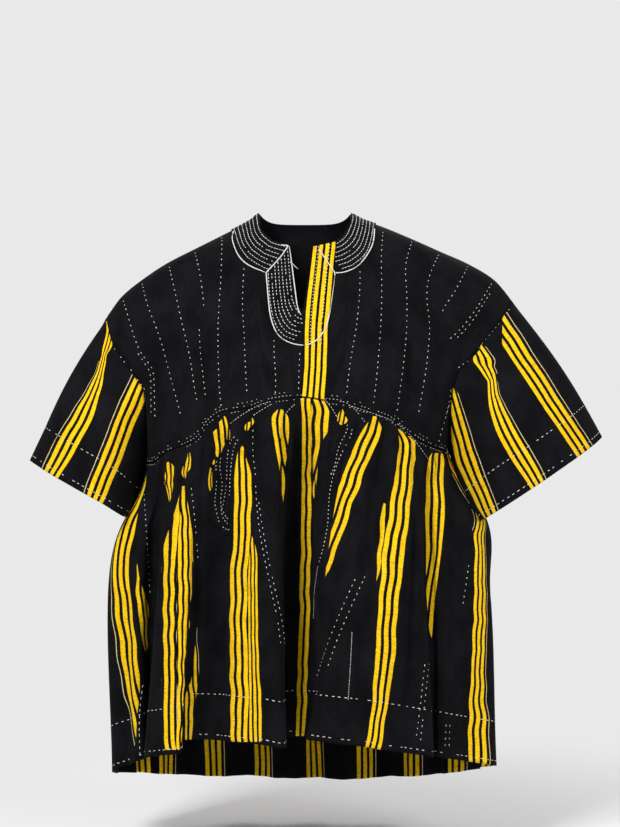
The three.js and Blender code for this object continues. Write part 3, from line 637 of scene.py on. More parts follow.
# ---- creases --------------------------------------------------------------------------------------------------------
# Each is a soft ridge (height above 0) or groove between two photograph pixels, with a half width in millimetres.
YOKE_CREASES = table("x0 y0 x1 y1 half height", [
    (202, 305, 206, 408, 9, -9), (188, 300, 194, 398, 12, 5), (218, 310, 220, 405, 12, 4),
    (147, 330, 172, 425, 12, -7), (136, 345, 158, 430, 9, 6), (164, 320, 182, 420, 9, 5), (122, 318, 138, 352, 6, 5),
    (131, 305, 134, 345, 6, -5), (115, 325, 122, 350, 5, 3), (143, 290, 150, 340, 9, 4), (165, 275, 185, 330, 16, 3),
    (238, 300, 243, 400, 14, 3), (262, 350, 268, 400, 10, -3), (276, 345, 278, 400, 9, 2.5),
    (352, 330, 347, 400, 10, 3.5), (372, 320, 376, 405, 12, -3.5), (402, 300, 400, 410, 12, 4.5),
    (414, 330, 410, 415, 8, -4), (441, 320, 436, 440, 11, -6), (428, 330, 424, 425, 9, 5),
    (462, 300, 446, 400, 10, 5), (455, 270, 448, 330, 10, -4), (478, 300, 462, 345, 8, 4),
    (470, 318, 458, 345, 6, -4), (385, 240, 381, 330, 16, 2.5), (340, 300, 335, 392, 10, -2.5),
    (250, 240, 246, 300, 14, 2),
])
SKIRT_CREASES = table("x0 y0 x1 y1 half height", [
    (186, 455, 165, 548, 5, -4.5), (193, 500, 200, 690, 5, -3.5), (177, 540, 178, 745, 3.5, -2.5),
    (238, 455, 231, 560, 5, -3.5), (248, 520, 251, 742, 4, -3), (286, 420, 283, 515, 5, -4),
    (262, 470, 284, 660, 12, 3), (318, 430, 312, 500, 6, -4), (226, 440, 210, 520, 6, -3),
    (215, 500, 214, 740, 14, -3), (348, 455, 322, 595, 4, -4), (380, 450, 338, 560, 7, 2.5),
    (372, 560, 350, 735, 16, -2.5), (396, 430, 380, 560, 5, -3), (414, 440, 404, 600, 8, 3),
    (404, 600, 392, 745, 14, -2), (425, 450, 427, 640, 4, -4), (446, 460, 440, 560, 6, 2.5),
    (455, 480, 452, 640, 10, -3), (468, 470, 472, 640, 5, -3), (376, 660, 380, 672, 6, 2),
    (120, 520, 112, 600, 8, 2.5), (132, 560, 146, 650, 5, -4), (150, 500, 154, 600, 8, -3),
    (233, 676, 240, 668, 7, 2.0), (300, 420, 300, 700, 6, -2.5), (346, 690, 400, 668, 12, 1.6),
    (440, 700, 490, 676, 10, 1.8), (160, 692, 190, 684, 8, 1.6),
])
# The valleys between the skirt's folds run deeper than the solid's: the fold row at the middle, its half width in rows,
# the depth, and the shares of the way down between which it grows.
VALLEYS = table("row half depth starts full", [
    (4.4, 1.3, 10, 0.05, 0.4), (10.2, 1.1, 15, 0.03, 0.3), (15.2, 1.7, 30, 0.0, 0.25), (9.1, 0.5, 7, 0.3, 0.6),
    (21.9, 0.8, 9, 0.05, 0.4), (26.6, 1.2, 16, 0.05, 0.35), (23.9, 0.6, 7, 0.1, 0.5), (2.0, 0.8, 6, 0.1, 0.5),
])
# Its two sides turn round to the back more sharply than the solid's, by x and y.
FLARES = table("row half x y starts full", [(1.0, 1.0, -6, -17, 0.1, 0.45), (29.1, 0.9, 15, -15, 0.1, 0.45)])


def deepened(points, out, k, w):
    """The skirt with its sides turned out and its valleys pressed in, against `out`."""
    def grown(row):
        return ramp(w, row["starts"], row["full"]) * bell((k - row["row"]) / row["half"])

    for row in FLARES:
        points = points + grown(row)[..., None] * [row["x"], row["y"], 0]
    for row in VALLEYS:
        points = points - out * (row["depth"] * grown(row))[..., None]
    return points


# Small crumples where the cloth is squeezed: the middle and half size of each place in photograph pixels, the height.
CRUMPLES = table("x y wide tall height", [
    (186, 640, 12, 70, 1.6), (252, 640, 12, 80, 2.0), (247, 460, 14, 30, 1.6), (221, 440, 12, 22, 1.8),
    (170, 480, 10, 22, 1.6), (187, 470, 8, 20, 1.8), (283, 440, 12, 28, 1.5), (316, 430, 14, 28, 1.5),
    (343, 420, 10, 16, 1.8), (400, 450, 16, 30, 1.3), (436, 480, 14, 30, 1.3), (476, 620, 14, 60, 1.4),
    (140, 560, 14, 60, 1.2), (240, 610, 14, 60, 1.3),
])
CRUMPLE_WAVES, CRUMPLE_TALL = (14, 16, 42), 0.8  # count, shortest and longest; and their squeeze down the cloth
CREASE_FADE = 0.72  # where a crease has faded out, from its middle, against its length


def crumpled(points, normals, seed):
    px, py = to_photo(points)
    ripples = smooth_noise(seed, *CRUMPLE_WAVES)(px * PIXEL, py * PIXEL * CRUMPLE_TALL)
    size = np.zeros(px.shape)
    for row in CRUMPLES:
        away = ((px - row["x"]) / row["wide"]) ** 2 + ((py - row["y"]) / row["tall"]) ** 2
        size = size + row["height"] * np.exp(-away)
    return points + normals * (ripples * size)[..., None]


def creased(points, normals, rows):
    """Moves a grid's points along its normals by each crease that the photograph's view of them meets."""
    px, py = to_photo(points)
    moved = np.zeros(px.shape)
    for row in rows:
        dx, dy = row["x1"] - row["x0"], row["y1"] - row["y0"]
        long = math.hypot(dx, dy)
        along = ((px - row["x0"]) * dx + (py - row["y0"]) * dy) / long**2
        away = ((px - row["x0"]) * dy - (py - row["y0"]) * dx) / long * PIXEL
        moved += row["height"] * np.exp(-((away / row["half"]) ** 2)) * bell((along - 0.5) / CREASE_FADE)
    return points + normals * moved[..., None]


# ---- groups of stripes ----------------------------------------------------------------------------------------------
# A group is three thick stripes between two thin lines. Each row gives, at one level of the photograph, the outer
# edges of the three thick stripes (left, right) and the visible edges that a fold leaves (start, stop).
STRIPES_WIDE = 2 * (STRIPE_PITCH + STRIPE_HALF)
ONE_LINE = STRIPES_WIDE / 2 + 2.5  # where a group with one thin line ends on its other side, from its middle
LEVEL_NAMES = ("level", "left", "right", "start", "stop")


def group(layer, near, rows, wraps=False):
    """near is the range of fold rows, or of turns round a sleeve, in which the group lies. wraps is for a group that
    runs round the garment's side, where its stripes keep their own width."""
    return dict(layer=layer, near=near, rows=table(" ".join(LEVEL_NAMES), rows), wraps=wraps)


FRONT_GROUPS = [
    group(0, (1, 4.2), [
        (430, 145, 153, 146, 152), (468, 139, 150, 139, 147), (482, 131, 147, 131, 146), (505, 125, 140, 125, 140),
        (525, 119, 135, 119, 136), (575, 113.5, 128.5, 100, 129), (612, 115, 132.5, 100, 133),
        (650, 120.5, 137.5, 100, 138.5), (687, 125.5, 142, 100, 140), (720, 132, 148, 100, 137),
        (740, 136, 152, 100, 136), (790, 146, 162, 100, 100),
    ], wraps=True),
    group(1, (2.5, 5.5), [
        (540, 130, 141, 131.5, 133.5), (556, 131, 142.5, 131.5, 136.5), (575, 132.5, 144, 132, 139),
        (612, 138.5, 151, 138, 149), (640, 142.5, 154, 142, 149), (655, 144, 156, 146, 146.5),
        (680, 147, 159, 150, 149),
    ], wraps=True),
    group(0, (3.2, 7.2), [
        (462, 163, 173, 167, 170), (467, 162, 174.5, 166, 174), (477, 163.5, 174.5, 164.5, 173.8),
        (482, 163.5, 174, 164, 173.5), (491, 166.5, 173.5, 166.8, 172.5), (502, 168.5, 172.5, 169, 170),
    ]),
    group(1, (5, 9), [
        (452, 181, 191.5, 188, 190), (460, 181.5, 191.5, 186.5, 191.2), (468, 181, 190.5, 182.5, 190.5),
        (473, 181.3, 189, 181.5, 187), (479, 183, 189, 184.5, 185.5),
    ]),
    group(0, (5, 8.5), [
        (486, 154, 180, 182, 184), (517, 154, 178, 173, 182), (550, 155, 176, 163, 177), (575, 156.5, 174, 161, 177),
        (675, 157, 174, 161.5, 177), (700, 157.5, 174, 161.5, 178), (750, 159, 176, 163.5, 178),
    ]),
    group(1, (7, 9), [
        (486, 176, 190, 182, 185), (517, 177.5, 192, 180, 190), (550, 178, 193, 177.5, 194),
        (600, 178.5, 193.5, 177.5, 194), (675, 178, 190.5, 177, 190), (700, 177.5, 191, 177, 188),
        (750, 176, 188, 176, 185),
    ]),
    group(0, (8, 9.6), [
        (560, 186, 196, 201, 203), (630, 185, 195, 196, 203), (675, 184, 196.5, 192, 203),
        (700, 183.5, 198, 185, 203), (745, 183.5, 198.5, 185, 203),
    ]),
    group(0, (9.2, 11.8), [
        (416, 211.5, 226, 224, 225), (418.5, 212, 226.4, 222.3, 226.3), (423.6, 212.5, 227.5, 218, 227.8),
        (428.7, 212.3, 229.4, 216.5, 229.8), (431.9, 213.2, 229.8, 213, 230.2), (438.2, 214.3, 230.4, 214, 230),
        (444.6, 215.4, 231, 215.2, 226.6), (449.7, 215.8, 230, 215.6, 223.6), (455.4, 215.4, 229, 215.2, 218.8),
        (460.5, 213.6, 226.6, 213.4, 216.4), (464, 212.2, 224, 212, 214.6), (467.6, 210.2, 218, 210, 212.6),
        (474.6, 209, 216.4, 208.8, 214), (481, 208.2, 216.4, 208, 214), (486, 208.4, 216.4, 208.4, 213.4),
        (490, 209.4, 217, 209.4, 212.6), (495, 210.4, 217, 211, 212),
    ]),
    group(1, (10.6, 12.2), [
        (417, 244, 254.5, 251, 252.5), (421, 244, 254.5, 250.6, 254.4), (424, 243.8, 254.3, 245.5, 253.4),
        (428, 243.5, 254, 244.4, 249.4), (432, 243, 253.5, 246, 248),
    ]),
    group(0, (10, 12.2), [
        (446, 235, 249, 241, 243.5), (455, 235, 250, 237, 245.5), (480, 234, 250.5, 234, 252),
        (515, 234, 251, 233, 252), (545, 233.5, 249.5, 232, 250.5), (582, 229.5, 246.5, 228, 247.5),
        (645, 230, 247, 229, 248), (695, 230, 248, 229, 249), (742, 231, 247.5, 230, 248.5),
    ]),
    group(1, (11.2, 13), [
        (535, 247, 256, 252, 253), (560, 248, 258, 249, 257.5), (582, 248, 257.5, 248, 257.5),
        (645, 248.5, 258.5, 248.5, 259), (680, 249, 260, 249, 260), (695, 249.5, 262, 249.5, 262.5),
        (742, 249, 261, 249, 261.5),
    ]),
    group(0, (12.6, 14.4), [
        (409, 274, 290, 278, 282), (418, 271, 289, 271, 288.5), (430, 272.5, 289, 272.3, 289.3),
        (446, 275.2, 292, 275, 288), (455, 277, 293.5, 276.8, 287.5), (463, 278.5, 295.5, 278.3, 286),
        (473, 280.2, 298, 280, 285), (488, 281.8, 300, 281.6, 285), (496, 281.2, 300, 281.2, 284),
        (508, 281.6, 300, 281.6, 282.6),
    ]),
    group(0, (14.3, 16), [
        (398, 301, 317, 300.5, 311.5), (420, 302, 318, 302, 311), (495, 301.5, 317, 301.5, 311.5),
        (600, 299.5, 316, 299, 311), (695, 297, 313, 296.5, 308), (737, 296, 311, 295.5, 304),
        (745, 296, 311, 295.5, 303),
    ]),
    group(1, (15.4, 18.6), [
        (398, 305, 324, 311.5, 323), (414, 307.5, 329, 311, 329.5), (430, 307, 328.5, 310, 329),
        (445, 306, 326.5, 309, 327), (460, 305, 323.5, 311, 324), (473, 303, 320, 311.5, 320),
        (490, 299, 316.5, 312, 316.5), (500, 297, 315, 314, 314),
    ]),
    group(0, (17, 18.6), [
        (409, 338, 349, 341, 343), (415, 337, 348.5, 338, 345), (421, 336, 348, 337, 348),
        (425, 335, 347.5, 340, 343),
    ]),
    group(0, (18.2, 21.4), [
        (416, 366, 384, 373, 376), (430, 361.6, 381.5, 362.5, 382), (450, 352.6, 373.5, 352.6, 374),
        (463, 347.5, 368.2, 347.5, 369), (477, 342, 363, 342, 364), (496, 335.5, 355.8, 335.5, 356.5),
        (512, 330, 350.2, 331.5, 351), (529, 324, 344.2, 331, 345), (545, 318.5, 338.8, 329, 339.5),
        (559, 313.5, 333.4, 326.5, 334), (580, 305, 325, 322, 325.5), (595, 298, 319, 320, 320),
    ]),
    group(1, (21.4, 24), [
        (429, 392, 406, 397.5, 399), (445, 397, 416.5, 399.3, 416.5), (456, 396.8, 416, 397.5, 416),
        (470, 396, 414.5, 396, 415), (495, 391, 411, 389.5, 411.5), (520, 388.5, 408.5, 386, 409),
        (557, 382.5, 404, 381, 405), (595, 379.5, 399.5, 378, 400), (645, 376, 396, 375, 397),
        (695, 372.5, 389, 371, 390), (720, 370, 385, 368.5, 386), (745, 366, 381.5, 364.5, 382),
        (760, 364, 379, 363, 380),
    ]),
    group(0, (20.8, 23.4), [
        (502, 368, 386.5, 383.8, 385.8), (522, 367, 385.5, 379, 385.2), (545, 365, 383, 377.5, 383.2),
        (568, 363, 381, 376.5, 380.5), (590, 361, 379, 376, 377.5),
    ]),
    group(0, (22.9, 24.5), [(442, 411, 420, 411, 413), (450, 411, 420, 411, 415), (461, 412, 421, 415, 416)]),
    group(0, (25.2, 28.6), [
        (453, 429, 445, 432, 442), (458, 428, 445, 429, 445), (466, 428, 444.5, 427.5, 444.5),
        (482, 426, 443, 425.5, 443.5), (507, 425, 444.5, 425, 445), (545, 426, 442, 426, 442),
        (582, 421, 437.5, 426, 437.5), (620, 417, 434, 428, 434), (652, 412, 430, 430, 430),
    ]),
    group(1, (28, 30), [
        (395, 443, 452, 430, 440), (466, 459, 470, 450, 454), (478, 464.5, 475.5, 453, 457.5),
        (499, 470.5, 481.5, 460, 468.5), (510, 473, 484, 464, 473), (516, 474, 484.5, 471.5, 520),
        (545, 474.5, 483, 472.9, 520), (570, 475, 485.5, 473.8, 520), (600, 473.5, 485.5, 472.4, 520),
        (650, 472.5, 484.5, 471.4, 520), (669, 472.5, 482, 471.4, 520), (695, 469, 484.5, 467.9, 520),
        (720, 468.5, 486, 467.3, 520), (775, 468.5, 486, 467.3, 520),
    ], wraps=True),
]


AWAY, AWAY_MM = 0.3, 60  # how far cloth may turn from the photograph's view before its stripes end, and how sharply
NEAR_MM = 12  # how sharply a group ends where its range of fold rows does
GROUP_REACH = 25  # how far from a group's middle it shows at most
NARROWEST, WIDEST = 0.5, 1.2  # the width that a group which wraps round a side may have, against its woven width
EVENED_ROWS = 9  # rows to either side, over which the place and width of such a group are averaged
WAVE_SEED, WAVES, WAVE_ACROSS = 50, (7, 34, 95), 0.5  # the stripes' slight waves: count, shortest and longest
WAVE_HIGH = {"skirt": 1.1, "sleeve": 0.35}


def smoothed(values, reach):
    """A running mean of a list over `reach` values to either side."""
    padded = np.pad(values, reach, mode="edge")
    return np.convolve(padded, np.full(2 * reach + 1, 1 / (2 * reach + 1)), mode="valid")


def wrapped_round(points, px, left, right, number, low, high):
    """Place in a group, measured along the cloth from the middle of where the photograph shows it."""
    length = arc(points, 0)
    near = (number >= low) & (number <= high)
    rows, places, scales = [], [], []
    for j in range(px.shape[1]):
        line = np.maximum.accumulate(px[near, j])
        sides = [edge[near, j].mean() for edge in (left, right)]
        if line[0] > sides[0] or line[-1] < sides[1]:
            continue  # this row doesn't reach that far out, so it goes by the nearest row that does
        rows.append(j)
        ends = [np.interp(side, line, length[near, j]) for side in sides]
        places.append(np.interp(sum(ends) / 2, length[:, j], number))
        scales.append(np.clip((ends[1] - ends[0]) / STRIPES_WIDE, NARROWEST, WIDEST))
    every = np.arange(px.shape[1])
    places, scales = (smoothed(np.interp(every, rows, values), EVENED_ROWS) for values in (places, scales))
    middle = np.array([np.interp(places[j], number, length[:, j]) for j in every])
    return (length - middle) / scales


def front_stripes(points, groups, count, wavy, outward=1):
    """The two stripes maps of a grid: place in the nearest group, and how far inside its visible edges. Groups that
    lie side by side are in different maps, so that neither blurs into the other. `count` is the number of columns to a
    fold row or turn, and `wavy` the height of the stripes' waves."""
    px, py = to_photo(points)
    maps = [[np.full(px.shape, PLAIN[0]), np.full(px.shape, PLAIN[1])] for _ in range(2)]
    # Cloth that turns away from the photograph's view is left black.
    facing_it = ((normals_of(points, outward=outward) * unit(CAMERA - points)).sum(axis=-1) - AWAY) * AWAY_MM
    number = np.arange(px.shape[0])[:, None] / count
    for i, item in enumerate(groups):
        rows = item["rows"]
        levels = column(rows, "level")
        left, right, start, stop = (curve(rows, "level", name)(py) for name in LEVEL_NAMES[1:])
        low, high = item["near"]
        if item["wraps"]:
            own = wrapped_round(points, px, left, right, number[:, 0], low, high)
        else:
            own = ((px - left) / (right - left) - 0.5) * STRIPES_WIDE
        own = own + wavy * smooth_noise(WAVE_SEED + i, *WAVES)(px * PIXEL * WAVE_ACROSS, py * PIXEL)
        shown = np.minimum(px - start, stop - px) * PIXEL
        shown = np.minimum(shown, np.minimum(py - levels[0], levels[-1] - py) * PIXEL)
        shown = np.minimum(shown, np.minimum(number - low, high - number) * NEAR_MM)
        if not item["wraps"]:
            shown = np.minimum(shown, facing_it)
        shown = np.minimum(shown, GROUP_REACH - np.abs(own))
        g, inside = maps[item["layer"]]
        better = shown > inside
        maps[item["layer"]] = [np.where(better, own, g), np.where(better, shown, inside)]
    return np.stack(maps[0] + maps[1], axis=-1)


BACK_FIRST, BACK_PITCH = 73.0, 93.0  # the back's groups, along its hem from the left side
BACK_GROUP_HALF = 26.0
TIP_HALF, TIP_LONG, TIP_ASIDE = (2, 9), (0.12, 0.42), (-9, 9)  # how wide and long the groups' tips are, and how far off
TIPS = 40
FOLDED_GROUP = 124.0  # one more group that a fold hides above, and its place along the hem
FOLDED_FROM, FOLDED_OVER = 0.25, 0.35  # the share of the way down from which it shows, and over which it opens


def gathered_stripes(points, seed):
    """The stripes maps of the back panel. In one, groups lie at an even pitch along its hem, with one thin line each.
    The gathers swallow the cloth's width near the seam, so each starts there as a tip. In the other is the group that
    shows low down, where the fold that hides it opens."""
    length = arc(points, 0)
    hem = length[:, -1:]
    number = np.floor((hem - BACK_FIRST) / BACK_PITCH + 0.5)
    middle = BACK_FIRST + number * BACK_PITCH
    own = length - np.array([np.interp(middle[:, 0], hem[:, 0], row) for row in length.T]).T
    down = np.linspace(0, 1, points.shape[1])[None, :]
    rng = np.random.default_rng(seed)
    tip, reach, aside = (rng.uniform(*ends, TIPS) for ends in (TIP_HALF, TIP_LONG, TIP_ASIDE))
    pick = number.astype(int)[:, 0] % TIPS
    opened = ease(down / reach[pick][:, None])
    off = aside[pick][:, None] * (1 - opened)
    own = own + off
    inside = np.minimum(mix(tip[pick][:, None], BACK_GROUP_HALF, opened) - np.abs(own - off), own + ONE_LINE)
    inside = np.where(number < 1, PLAIN[1], inside)  # the folded group takes the first one's place
    folded = length - np.array([np.interp(FOLDED_GROUP, hem[:, 0], row) for row in length.T])
    at_hem = mix(-1.0, ONE_LINE, ease((down - FOLDED_FROM) / FOLDED_OVER)) - np.abs(folded)
    return np.stack([own, inside, folded, at_hem], axis=-1)


def cloth_uv(points):
    """Place in the cloth: across by arc length along the lowest row, down by arc length along each column."""
    down = arc(points, 1)
    return np.stack([np.broadcast_to(arc(points[:, -1], 0)[:, None], down.shape), down], axis=-1)


# ---- the body's panels ----------------------------------------------------------------------------------------------
COARSE = 1
# Creases too slight to be placed one by one: height, count of waves, shortest and longest wave, and how much longer
# they are down the cloth.
YOKE_SLIGHT, SKIRT_SLIGHT = (1.3, 9, 45, 120, 4.0), (1.6, 9, 35, 110, 5.0)
BACK_SLIGHT, BACK_TOP_SLIGHT = (3.6, 9, 30, 100, 6.0), (2.6, 9, 22, 48, 7.0)


def spaced(low, high, pitch):
    return np.linspace(low, high, max(2, int(round(abs(high - low) / (pitch * COARSE)))) + 1)


def plain_map(points):
    return np.broadcast_to(np.array(PLAIN), points.shape[:2] + (2,))


def soft_creases(points, normals, seed, height, count, low, high, tall):
    """Shallow uneven creases that run mostly down the cloth, which no photograph shows one by one."""
    noise = smooth_noise(seed, count, low, high)
    place = cloth_uv(points)
    return points + normals * (height * noise(place[..., 0], place[..., 1] / tall))[..., None]


YOKE_PITCH, YOKE_ROWS, YOKE_GROWS = 3.0, 0.009, 1.25  # columns, rows as shares, and how the rows widen downwards
LEAST_APART = 0.6
YOKE_FADE, YOKE_SIDE_FADE = 0.12, 20  # where creases fade out: shares of the way down, and millimetres at the sides

tops = np.unique(np.round(np.r_[spaced(TOP_LEFT, TOP_RIGHT, YOKE_PITCH), column(NECK_ROWS, "x")[1:-1]], 2))
tops = tops[np.r_[True, np.diff(tops) > LEAST_APART]]
shares = spaced(0, 1, YOKE_ROWS) ** YOKE_GROWS
bodices = {}
for face, outward, seed in (("front", 1, 3), ("back", -1, 4)):
    points = yoke(face, tops[:, None], shares[None, :])
    points[:, -1, 2] += SEAM_DROP
    edge = ramp(np.minimum(shares, 1 - shares), 0, YOKE_FADE)[None, :, None]
    edge = edge * ramp(np.minimum(tops - TOP_LEFT, TOP_RIGHT - tops), 0, YOKE_SIDE_FADE)[:, None, None]
    normals = normals_of(points, outward=outward) * edge
    wavy = soft_creases(points, normals, seed, *YOKE_SLIGHT)
    if face == "front":
        wavy = creased(wavy, normals, YOKE_CREASES)
    bodices[face] = wavy
    o = cloth_object(
        f"{face}_bodice_cloth", wavy, cloth_uv(points), plain_map(points), black_cloth, outward=outward
    )
    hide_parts(f"{face}_bodice")

# ---- sleeves --------------------------------------------------------------------------------------------------------
# Groups of stripes in front, as the skirt's, and the turns round the back of the sleeve at which the others lie.
FRONT_TURNS = (0.1, 3.05)
SLEEVE_GROUPS = {
    "left": [
        group(0, FRONT_TURNS, [
            (318, 106, 115, 106, 115), (329, 106.6, 114.4, 106, 115), (340, 104.6, 113, 104.5, 113.5),
            (349, 102.5, 110.6, 102, 111), (355, 101.7, 106.6, 101.7, 107), (363, 99.3, 105.7, 97.5, 106),
            (373, 96.3, 103.6, 93.5, 104), (383, 91.4, 102.5, 87.5, 103), (396, 85, 99.2, 80.5, 100),
            (407, 78.4, 96.3, 73.8, 97), (420, 71, 91.4, 66.3, 92), (435, 62.1, 83.8, 57.5, 85),
            (453, 52.9, 74, 48, 75), (471, 44, 62.6, 39, 64), (485, 36.6, 53.5, 31.5, 55),
        ]),
        group(1, FRONT_TURNS, [
            (368, 139, 157, 134, 158), (387.6, 129.7, 149.2, 125.2, 150), (404, 122.3, 143.2, 117.5, 144),
            (420, 115.8, 136.3, 111, 137), (436.4, 109.8, 130.1, 105, 131), (452.7, 103.3, 124, 98.5, 125),
            (469, 96.8, 117.5, 92, 118.5), (485, 90.3, 110.6, 85.5, 111.5), (498, 85.5, 104.9, 80.5, 106),
            (515, 79, 98, 74, 99),
        ]),
    ],
    "right": [
        group(0, FRONT_TURNS, [
            (312, 480, 502.3, 502.3, 508), (330, 492, 514, 502.2, 519.5), (343, 500.7, 522.5, 502, 528),
            (350, 505.5, 527, 505.8, 532.5), (365, 515.5, 536.7, 515.6, 542.4), (392.8, 534, 554.6, 534, 560.5),
            (453.3, 574.7, 593.7, 573.5, 599.5), (471.8, 587, 605.6, 586, 611.5),
        ]),
        group(1, FRONT_TURNS, [
            (344, 466.5, 481, 480, 481.5), (346.5, 467, 482.5, 480.5, 486), (349, 468.5, 484.3, 479.5, 489),
            (353, 471, 487.2, 477, 492), (357.7, 472.8, 490.3, 473, 495), (361.5, 473.6, 491.5, 473, 496),
            (366, 477, 491.5, 476.5, 496), (370, 480, 493.5, 479.5, 498), (375.3, 483.5, 495.3, 483, 497),
            (382.3, 487.9, 496.3, 487.5, 498), (392.8, 488, 497.5, 487.5, 500), (403.3, 488.8, 501.8, 488.3, 505.5),
            (413.9, 491, 507, 490.5, 511.5), (427.9, 495, 514, 494.5, 519), (445.4, 503.2, 524, 502.5, 529),
            (463, 514, 534.5, 513.5, 540), (480.5, 525.6, 543.5, 525, 549), (500, 538, 555, 537, 560.5),
        ]),
        group(0, FRONT_TURNS, [
            (388, 440, 453.5, 451, 455.5), (403.3, 443.2, 458, 451, 463), (427.9, 447.5, 465.6, 451, 470.5),
            (445.4, 452.5, 470.7, 451.5, 475.5), (463, 456.7, 477, 456, 482.5), (480.5, 465, 483.5, 464, 489),
            (498, 473, 490.5, 472, 496), (508.6, 478, 494.6, 477, 500.5), (525, 486, 502, 485, 508),
        ]),
    ],
}
SLEEVE_BACK_TURNS, BACK_TURN_REACH = (3.75, 4.75, 5.7), 24
SLEEVE_ROUND, SLEEVE_PITCH, SLEEVE_ROWS = 540, 3.2, 0.012
SLEEVE_WAVES, SLEEVE_WAVE, SLEEVE_FADE = (8, 60, 150), 2.2, 0.15  # count, shortest and longest; height; where it fades
DRUM, DRUM_LONG = 90, 60  # the radius and length of the drum on which the waves lie, so that they meet all round

sleeves = {}
for side, outward, seed in (("left", 1, 5), ("right", -1, 6)):
    around = int(SLEEVE_ROUND / (SLEEVE_PITCH * COARSE))
    turns = np.arange(around) * 2 * np.pi / around
    down = spaced(0, 1, SLEEVE_ROWS)
    points = sleeve(side, turns, down)
    normals = normals_of(points, closed=True, outward=outward)
    noise = smooth_noise(seed, *SLEEVE_WAVES)
    wave = SLEEVE_WAVE * noise(
        np.cos(turns)[:, None] * DRUM, np.sin(turns)[:, None] * DRUM + down[None, :] * DRUM_LONG
    )
    points = points + normals * ease(down / SLEEVE_FADE)[None, :, None] * wave[..., None]
    under = points[:, :1] - normals[:, :1] * TUCK_IN
    above = under + unit(points[:, :1] - points[:, 1:2]) * TUCK_UNDER - normals[:, :1] * TUCK_LEANS["sleeve"]
    points = np.concatenate([above, under, points[:, 1:]], axis=1)
    sleeves[side] = points
    wrapped = np.concatenate([points, points[:1]])
    place = cloth_uv(wrapped)
    stripes = front_stripes(wrapped, SLEEVE_GROUPS[side], around / (2 * np.pi), WAVE_HIGH["sleeve"], outward)
    length = place[:, -1, 0]
    for turn in SLEEVE_BACK_TURNS:
        own = (np.interp(turn, np.r_[turns, 2 * np.pi], length) - length)[:, None]
        inside = np.minimum(BACK_TURN_REACH - own, own + ONE_LINE)
        better = inside > stripes[..., 1]
        stripes[..., 0] = np.where(better, own, stripes[..., 0])
        stripes[..., 1] = np.where(better, inside, stripes[..., 1])
    o = cloth_object(
        f"sleeve_{side}_cloth", points, place, stripes, striped_cloth, closed=True, outward=outward
    )
    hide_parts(f"sleeve_{side}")

# ---- skirt ----------------------------------------------------------------------------------------------------------
PER_FOLD = 8  # columns to a fold row
SKIRT_ROWS, SKIRT_GROWS = 0.0075, 1.15  # rows as shares of the way down, and how they widen downwards
SKIRT_FADE = 0.1  # the share of the way down below which creases have grown
BACK_COLUMNS, BACK_SIDE_FADE = 0.0045, 0.08  # shares of the back's width
BACK_TOP_FROM, BACK_TOP_OVER = 0.6, 0.5  # where the back's upper creases end, and over what share they fade


def under_yoke(points, out):
    """Two more rows at a skirt's top, which run on under the yoke."""
    first = points[:, 0] - out * TUCK_IN
    above = first + [0, 0, TUCK_UNDER] - out * TUCK_LEANS["skirt"]
    return np.concatenate([above[:, None], first[:, None], points[:, 1:]], axis=1)


ks = spaced(0, FOLDS, COARSE / PER_FOLD)
ws = spaced(0, 1, SKIRT_ROWS) ** SKIRT_GROWS
points = front_skirt(ks[:, None], ws[None, :])
grown = ease(ws / SKIRT_FADE)[None, :, None]
normals = normals_of(points) * (grown * ramp(np.minimum(ks, FOLDS - ks), 0, FADE_FOLDS)[:, None, None])
points = soft_creases(points, normals, 11, *SKIRT_SLIGHT)
points = deepened(points, normals, ks[:, None], ws[None, :])
points = creased(points, normals, SKIRT_CREASES)
points = crumpled(points, normals, 13)
points = under_yoke(points, seam_out("front", np.clip(fold["topX"](ks), LEFT, RIGHT)))
front_panel = points
stripes = front_stripes(points, FRONT_GROUPS, (len(ks) - 1) / FOLDS, WAVE_HIGH["skirt"])
o = cloth_object("front_skirt_cloth", points, cloth_uv(points), stripes, striped_cloth)
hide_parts("front_skirt")

us = spaced(0, 1, BACK_COLUMNS)
points = back_skirt(us[:, None], ws[None, :])
normals = normals_of(points, outward=-1) * (grown * ramp(np.minimum(us, 1 - us), 0, BACK_SIDE_FADE)[:, None, None])
points = soft_creases(points, normals, 12, *BACK_SLIGHT)
points = soft_creases(points, normals * ease((BACK_TOP_FROM - ws) / BACK_TOP_OVER)[None, :, None], 14, *BACK_TOP_SLIGHT)
points = under_yoke(points, seam_out("back", mix(LEFT, RIGHT, us)))
back_panel = points
place = cloth_uv(points)
stripes = gathered_stripes(points, 31)
o = cloth_object("back_skirt_cloth", points, place, stripes, striped_cloth, outward=-1)
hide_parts("back_skirt")

